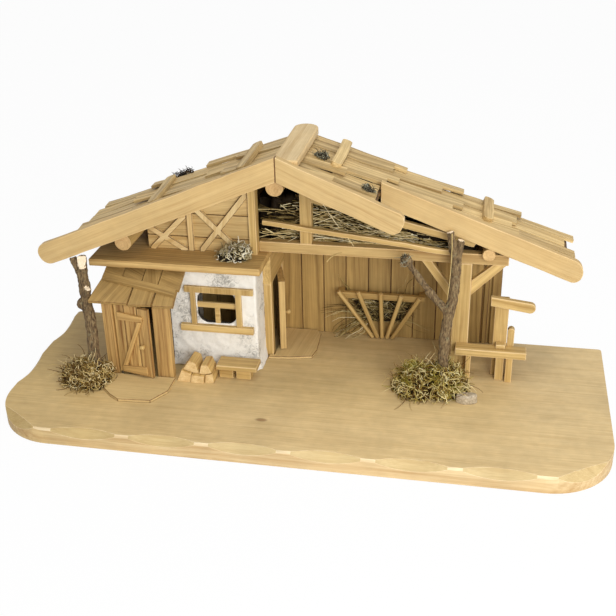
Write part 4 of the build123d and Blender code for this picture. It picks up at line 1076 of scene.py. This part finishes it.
def tangle(
    name, points, length_mm, thickness_mm, turn, material, slot, rng,
    steps=7, lowest_mm=0.0, right_end=NO_END,
):
    """Curled strands that stand out of a surface; none reaches past a right end, in metres."""
    lines = []
    for point, normal in points:
        heading = normal * 0.6 + rng.normal(0, 0.7, 3)
        start = point - normal * rng.uniform(0.5, 4.0) * MM
        length = rng.uniform(0.5, 1.25) * length_mm
        line = curl(start, heading, length, turn * rng.uniform(0.4, 1.3), rng, steps, lowest_mm * MM)
        if max(place[0] for place in line) < right_end:
            lines.append(line)
    return strand_mesh(name, lines, thickness_mm, material, slot)


# %% [markdown]
# ### Moss round the trees, lichen on the shelf
# The moss at the foot of each tree is a tight tangle with a few long stems that stick out, none of them so
# far that the shed's door would brush it. The lichen on the shelf has thicker and tighter curls and leans
# back against the gable. It could be one mesh with the moss, but it takes another finish.

# %% Moss
GROUND_MM = 20.7    # just above the base board
STEM_COUNT = 170
DOOR_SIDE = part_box("shed_door_planks")[0].x - 12 * MM    # where the open shed door must not touch stems

for node, count, seed, right_end, moss in (
    ("left_moss", 1300, 11, DOOR_SIDE, BROWN_MOSS),
    ("right_moss", 1700, 12, NO_END, MOSS),
):
    rng = np.random.default_rng(seed)
    core(node, node + "_core", 6.0, MOSS_CORE, "moss")
    points = surface_points(node, count, rng)
    piece = tangle(node + "_strands", points, 15.0, 1.2, 3.8, moss, "moss", rng, lowest_mm=GROUND_MM)
    points = surface_points(node, STEM_COUNT, rng)
    tangle(
        node + "_stems", points, 25.0, 0.9, 1.4, STEMS, "moss", rng, lowest_mm=GROUND_MM, right_end=right_end
    )
    print(node, len(piece.data.polygons), "faces")

# %% Lichen and roof tufts
LEAN = np.array((4.0, 4.0, -1.0)) * MM    # the lichen leans back against the gable
SHELF_TOP_MM = 166.0
TUFT_STRETCH = np.array((0.9, 0.0, 0.36))    # the left tuft lies along the slope of the roof
KNOB_MM = (110.5, 35.0, 175.5)
KNOB_RADIUS_MM = 5.2
RIDGE_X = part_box("ridge_cap")[0].x

rng = np.random.default_rng(13)
heart = core("shelf_moss", "shelf_lichen_core", 6.0, LICHEN_CORE, "lichen")
only(heart)
bpy.ops.transform.translate(value=LEAN)
bpy.ops.object.transform_apply(location=True, rotation=False, scale=False)
points = [(point + LEAN, normal) for point, normal in surface_points("shelf_moss", 230, rng)]
lichen = tangle(
    "shelf_lichen_strands", points, 14.0, 1.4, 6.5, LICHEN, "lichen", rng, steps=10, lowest_mm=SHELF_TOP_MM
)
core("roof_tufts", "roof_tufts_core", 2.0, LICHEN_CORE, "moss")
points = surface_points("roof_tufts", 300, rng)
left_points = [point for point in points if point[0][0] < RIDGE_X]
right_points = [point for point in points if point[0][0] >= RIDGE_X]
middle_x = np.mean([point[0] for point, normal in left_points])
left_points = [(point + (point[0] - middle_x) * TUFT_STRETCH, normal) for point, normal in left_points]
tangle("left_roof_tufts", left_points, 6.0, 1.0, 4.0, DARK_MOSS, "moss", rng)
tangle("right_roof_tufts", right_points, 9.0, 1.0, 5.0, ROOF_LICHEN, "moss", rng)
points = ball_points(KNOB_MM, KNOB_RADIUS_MM, 170, rng)
tangle("branch_lichen", points, 8.0, 0.8, 4.0, ROOF_LICHEN, "lichen", rng)
print("lichen:", len(lichen.data.polygons), "faces")

# %% [markdown]
# ### Straw in the loft and hay in the rack
# Stalks lie mostly along the loft and cross at small angles, and only those near the front are seen. They
# could be dropped in by a simulation, but a rule is quicker: a random stalk is kept if all of it lies in the
# space that the frame gives to the straw. The pale new stalks lie further to the front than the dull old
# ones. A few loose stalks hang over the rail, under the beam and down the right tree, and each of them is a
# bow through three places.

# %% Helpers for stalks
FRONT_PART = 0.10    # share of a space's depth that counts as its front
BOW = 0.045          # how far stalks bend, as a share of their length
TWIST = 0.015


def space_of(node, spare_mm):
    """Tells whether a point lies inside a frame node, or up to a spare distance outside."""
    mesh = frame["nodes"][node].data
    skin_tree = BVHTree.FromPolygons([v.co for v in mesh.vertices], [p.vertices for p in mesh.polygons])

    def holds(point):
        near, normal, index, distance = skin_tree.find_nearest(Vector(point))
        return (Vector(point) - near).dot(normal) < spare_mm * MM

    return holds


def between(low, high):
    """Tells whether a point lies in an upright box."""
    return lambda point: all(low[i] <= point[i] <= high[i] for i in range(3))


def stalks(low, high, holds, count, length_mm, spread, seed, front_share=0.75):
    """Slightly bent stalks inside a space, crowded towards its front."""
    rng = np.random.default_rng(seed)
    lines = []
    while len(lines) < count:
        middle = np.array([rng.uniform(low[i], high[i]) for i in range(3)])
        if rng.random() < front_share:
            middle[1] = low[1] + rng.uniform(0.0, FRONT_PART) * (high[1] - low[1])
        yaw = rng.normal(0, spread)
        pitch = rng.normal(0, spread)
        way = np.array([cos(yaw) * cos(pitch), sin(yaw) * cos(pitch) * 0.4, sin(pitch)])
        side = np.cross(way, rng.normal(0, 1, 3))
        length = rng.uniform(0.5, 1.4) * length_mm * MM
        bow = rng.normal(0, BOW)
        twist = rng.normal(0, TWIST)
        line = []
        for t in np.linspace(-0.5, 0.5, 7):
            bend = bow * (1 - 4 * t * t) + twist * sin(2 * pi * t)
            line.append(middle + way * length * t + side * length * bend)
        if all(holds(point) for point in line):
            lines.append(line)
    return lines


def bowed(start, middle, end):
    """Points of a stalk that bows smoothly through three places in millimetres."""
    start, middle, end = (np.array(place) * MM for place in (start, middle, end))
    return [
        start * (1 - t) * (1 - 2 * t) + middle * 4 * t * (1 - t) + end * t * (2 * t - 1)
        for t in np.linspace(0.0, 1.0, 6)
    ]


# %% Heap at the loft's left end
HEAP_MIDDLE = (-0.052, 0.105, 0.196)
HEAP_SIZE = (0.040, 0.042, 0.056)
HEAP_LUMPS = clouds("heap_lumps", 8.0)

core("loft_straw", "loft_straw_core", 9.0, STRAW_CORE, "straw")
bpy.ops.object.select_all(action="DESELECT")
bpy.ops.mesh.primitive_cube_add(size=1.0, location=HEAP_MIDDLE, scale=HEAP_SIZE)
heap = bpy.context.object
heap.name = "loft_end_heap"
bpy.ops.object.transform_apply(location=True, rotation=True, scale=True)
apply(heap, "REMESH", mode="VOXEL", voxel_size=CORE_VOXEL_MM * MM)
apply(heap, "SMOOTH", factor=0.5, iterations=6)
lumpy(heap, HEAP_LUMPS, 7.0, middle=0.6)
dress(heap, STRAW_CORE)
settle(heap, "straw")
print("heap:", len(heap.data.polygons), "faces")

# %% Straw
LOFT_END = (Vector((-0.072, 0.066, 0.168)), Vector((-0.015, 0.098, 0.222)))
LOW_STRAW_MM = 192.0
LOW_END_MM = 186.0
LOOSE_MM = (
    ((5, 60, 237), (21, 51, 218), (31, 49, 205)),
    ((16, 68, 213), (28, 68, 206), (40, 66, 198)),
    ((-2, 68, 200), (15, 68, 207), (34, 68, 217)),
    ((34, 60, 195), (43, 49, 190), (48, 50, 182)),
    ((15, 56, 157), (22, 56, 165), (33, 56, 170)),
    ((-70, 66, 215), (-55, 66, 216), (-41, 66, 216)),
    ((40, 56, 183), (62, 56, 184), (97, 56, 183)),
    ((-65, 62, 169), (-42, 62, 174), (-22, 62, 184)),
    ((-62, 64, 176), (-50, 64, 180), (-30, 64, 187)),
    ((-18, 66, 186), (14, 66, 184), (44, 66, 180)),
    ((161, 34, 211), (162, 30, 175), (160, 21, 135)),
)

low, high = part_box("loft_straw")
inside = space_of("loft_straw", 1.5)
in_end = between(*LOFT_END)
old_lines = stalks(low, high, inside, 190, 80.0, 0.2, 21)
old_lines += stalks(*LOFT_END, in_end, 44, 40.0, 0.16, 24, front_share=0.4)
strand_mesh("loft_old_straw", old_lines, 1.0, OLD_STRAW, "straw")
low_part = Vector((high.x, high.y, LOW_STRAW_MM * MM))
new_lines = stalks(low, low_part, inside, 140, 64.0, 0.22, 25, front_share=0.95)
new_lines += stalks(low, high, inside, 74, 70.0, 0.3, 26, front_share=1.0)
end_part = Vector((LOFT_END[1].x, LOFT_END[1].y, LOW_END_MM * MM))
new_lines += stalks(LOFT_END[0], end_part, in_end, 16, 36.0, 0.25, 27, front_share=0.8)
new_lines += [bowed(*places) for places in LOOSE_MM]
loft = strand_mesh("loft_new_straw", new_lines, 1.2, STRAW, "straw")
print("loft straw:", len(loft.data.polygons), "faces")

# %% Hay
HAY_MM = (
    ((48, 126, 50), (29, 123, 41), (16, 120, 27)),
    ((50, 126, 46), (34, 123, 35), (20, 120, 23)),
    ((45, 126, 42), (29, 123, 32), (12, 120, 26)),
    ((45, 126, 55), (24, 123, 57), (7, 120, 51)),
    ((42, 126, 62), (23, 123, 62), (2, 120, 59)),
    ((48, 126, 38), (40, 123, 29), (28, 120, 23)),
    ((53, 126, 75), (38, 123, 67), (26, 120, 56)),
    ((55, 126, 68), (79, 123, 67), (102, 120, 69)),
    ((60, 126, 57), (84, 123, 60), (107, 120, 65)),
    ((97, 126, 52), (119, 123, 45), (137, 120, 40)),
    ((93, 126, 78), (105, 123, 100), (111, 120, 114)),
    ((34, 126, 83), (27, 123, 95), (21, 120, 105)),
)
HAY_COUNT = 64
SPREAD_COUNT = 36    # so many stalks follow all the lines
LEFT_LINES = 6       # the rest follow the first lines, which hang out to the left
STRAY_MM = np.array((7.0, 2.1, 7.0))
KINK_MM = np.array((2.0, 0.4, 2.0))

rng = np.random.default_rng(23)
core("rack_hay", "rack_hay_core", 2.5, STRAW_CORE, "straw")
space = space_of("rack_hay", 2.5)
old_hay = stalks(*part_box("rack_hay"), space, 150, 36.0, 0.8, 22)
new_hay = stalks(*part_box("rack_hay"), space, 60, 36.0, 0.8, 28)
for i in range(HAY_COUNT):
    stray = rng.uniform(-1, 1, 3) * STRAY_MM
    line = []
    for point in bowed(*HAY_MM[i % (len(HAY_MM) if i < SPREAD_COUNT else LEFT_LINES)]):
        x, y, z = point + (stray + rng.uniform(-1, 1, 3) * KINK_MM) * MM
        line.append(np.array((x, y, max(z, GROUND_MM * MM))))
    (old_hay if i % 2 == 0 else new_hay).append(line)
strand_mesh("rack_old_hay", old_hay, 0.8, OLD_STRAW, "straw")
rack = strand_mesh("rack_new_hay", new_hay, 0.8, HAY, "straw")
print("rack hay:", len(rack.data.polygons), "faces")

# %% [markdown]
# ## Pebble and hinge pins
# A river pebble lies by the right tree: grey granite worn smooth, with pale and dark grains. The frame has
# it as a plain round solid, and a remesh with shallow dents makes it a stone. The steel pins of the two
# doors hardly show. Their shape in the frame is right, so they only get the finish of drawn wire.

# %% Pebble
STONE_VOXEL_MM = 0.8
STONE_DENTS = clouds("pebble_dents", 9.0)

# Worn granite: speckled grey beige with a dull shine.
granite = mottled(
    "river_granite", 3.0, ((0.3, "#7C6C56"), (0.7, "#CBBCA0")), 0.6, **{"Detail": 5.0, "Roughness": 0.7}
)
stone = copy_of("pebble", "river_pebble")
apply(stone, "REMESH", mode="VOXEL", voxel_size=STONE_VOXEL_MM * MM)
apply(stone, "SMOOTH", factor=0.5, iterations=8)
lumpy(stone, STONE_DENTS, 1.6)
dress(stone, granite)
settle(stone, "pebble_stone", "pebble")
print("pebble:", len(stone.data.polygons), "faces")

# %% Pins
DRAWN_MM = 0.8    # marks of the drawing die, coarser than real ones

# Drawn steel: grey metal whose shine is broken by fine marks.
steel, tree, shader = blank("drawn_steel_wire")
place = add(tree, "TexCoord", out="Object")
marks = add(tree, "TexNoise", {"Vector": place, "Scale": 1 / (DRAWN_MM * MM), "Detail": 2.0}, "Fac")
rough = add(tree, "MapRange", {"Value": marks, "To Min": 0.3, "To Max": 0.5}, 0)
give(shader, {"Base Color": tint("#A9A7A2"), "Metallic": 1.0, "Roughness": rough})
pins = frame["nodes"]["hinge_pins"]
dress(pins, steel)
print("pins:", pins.name)
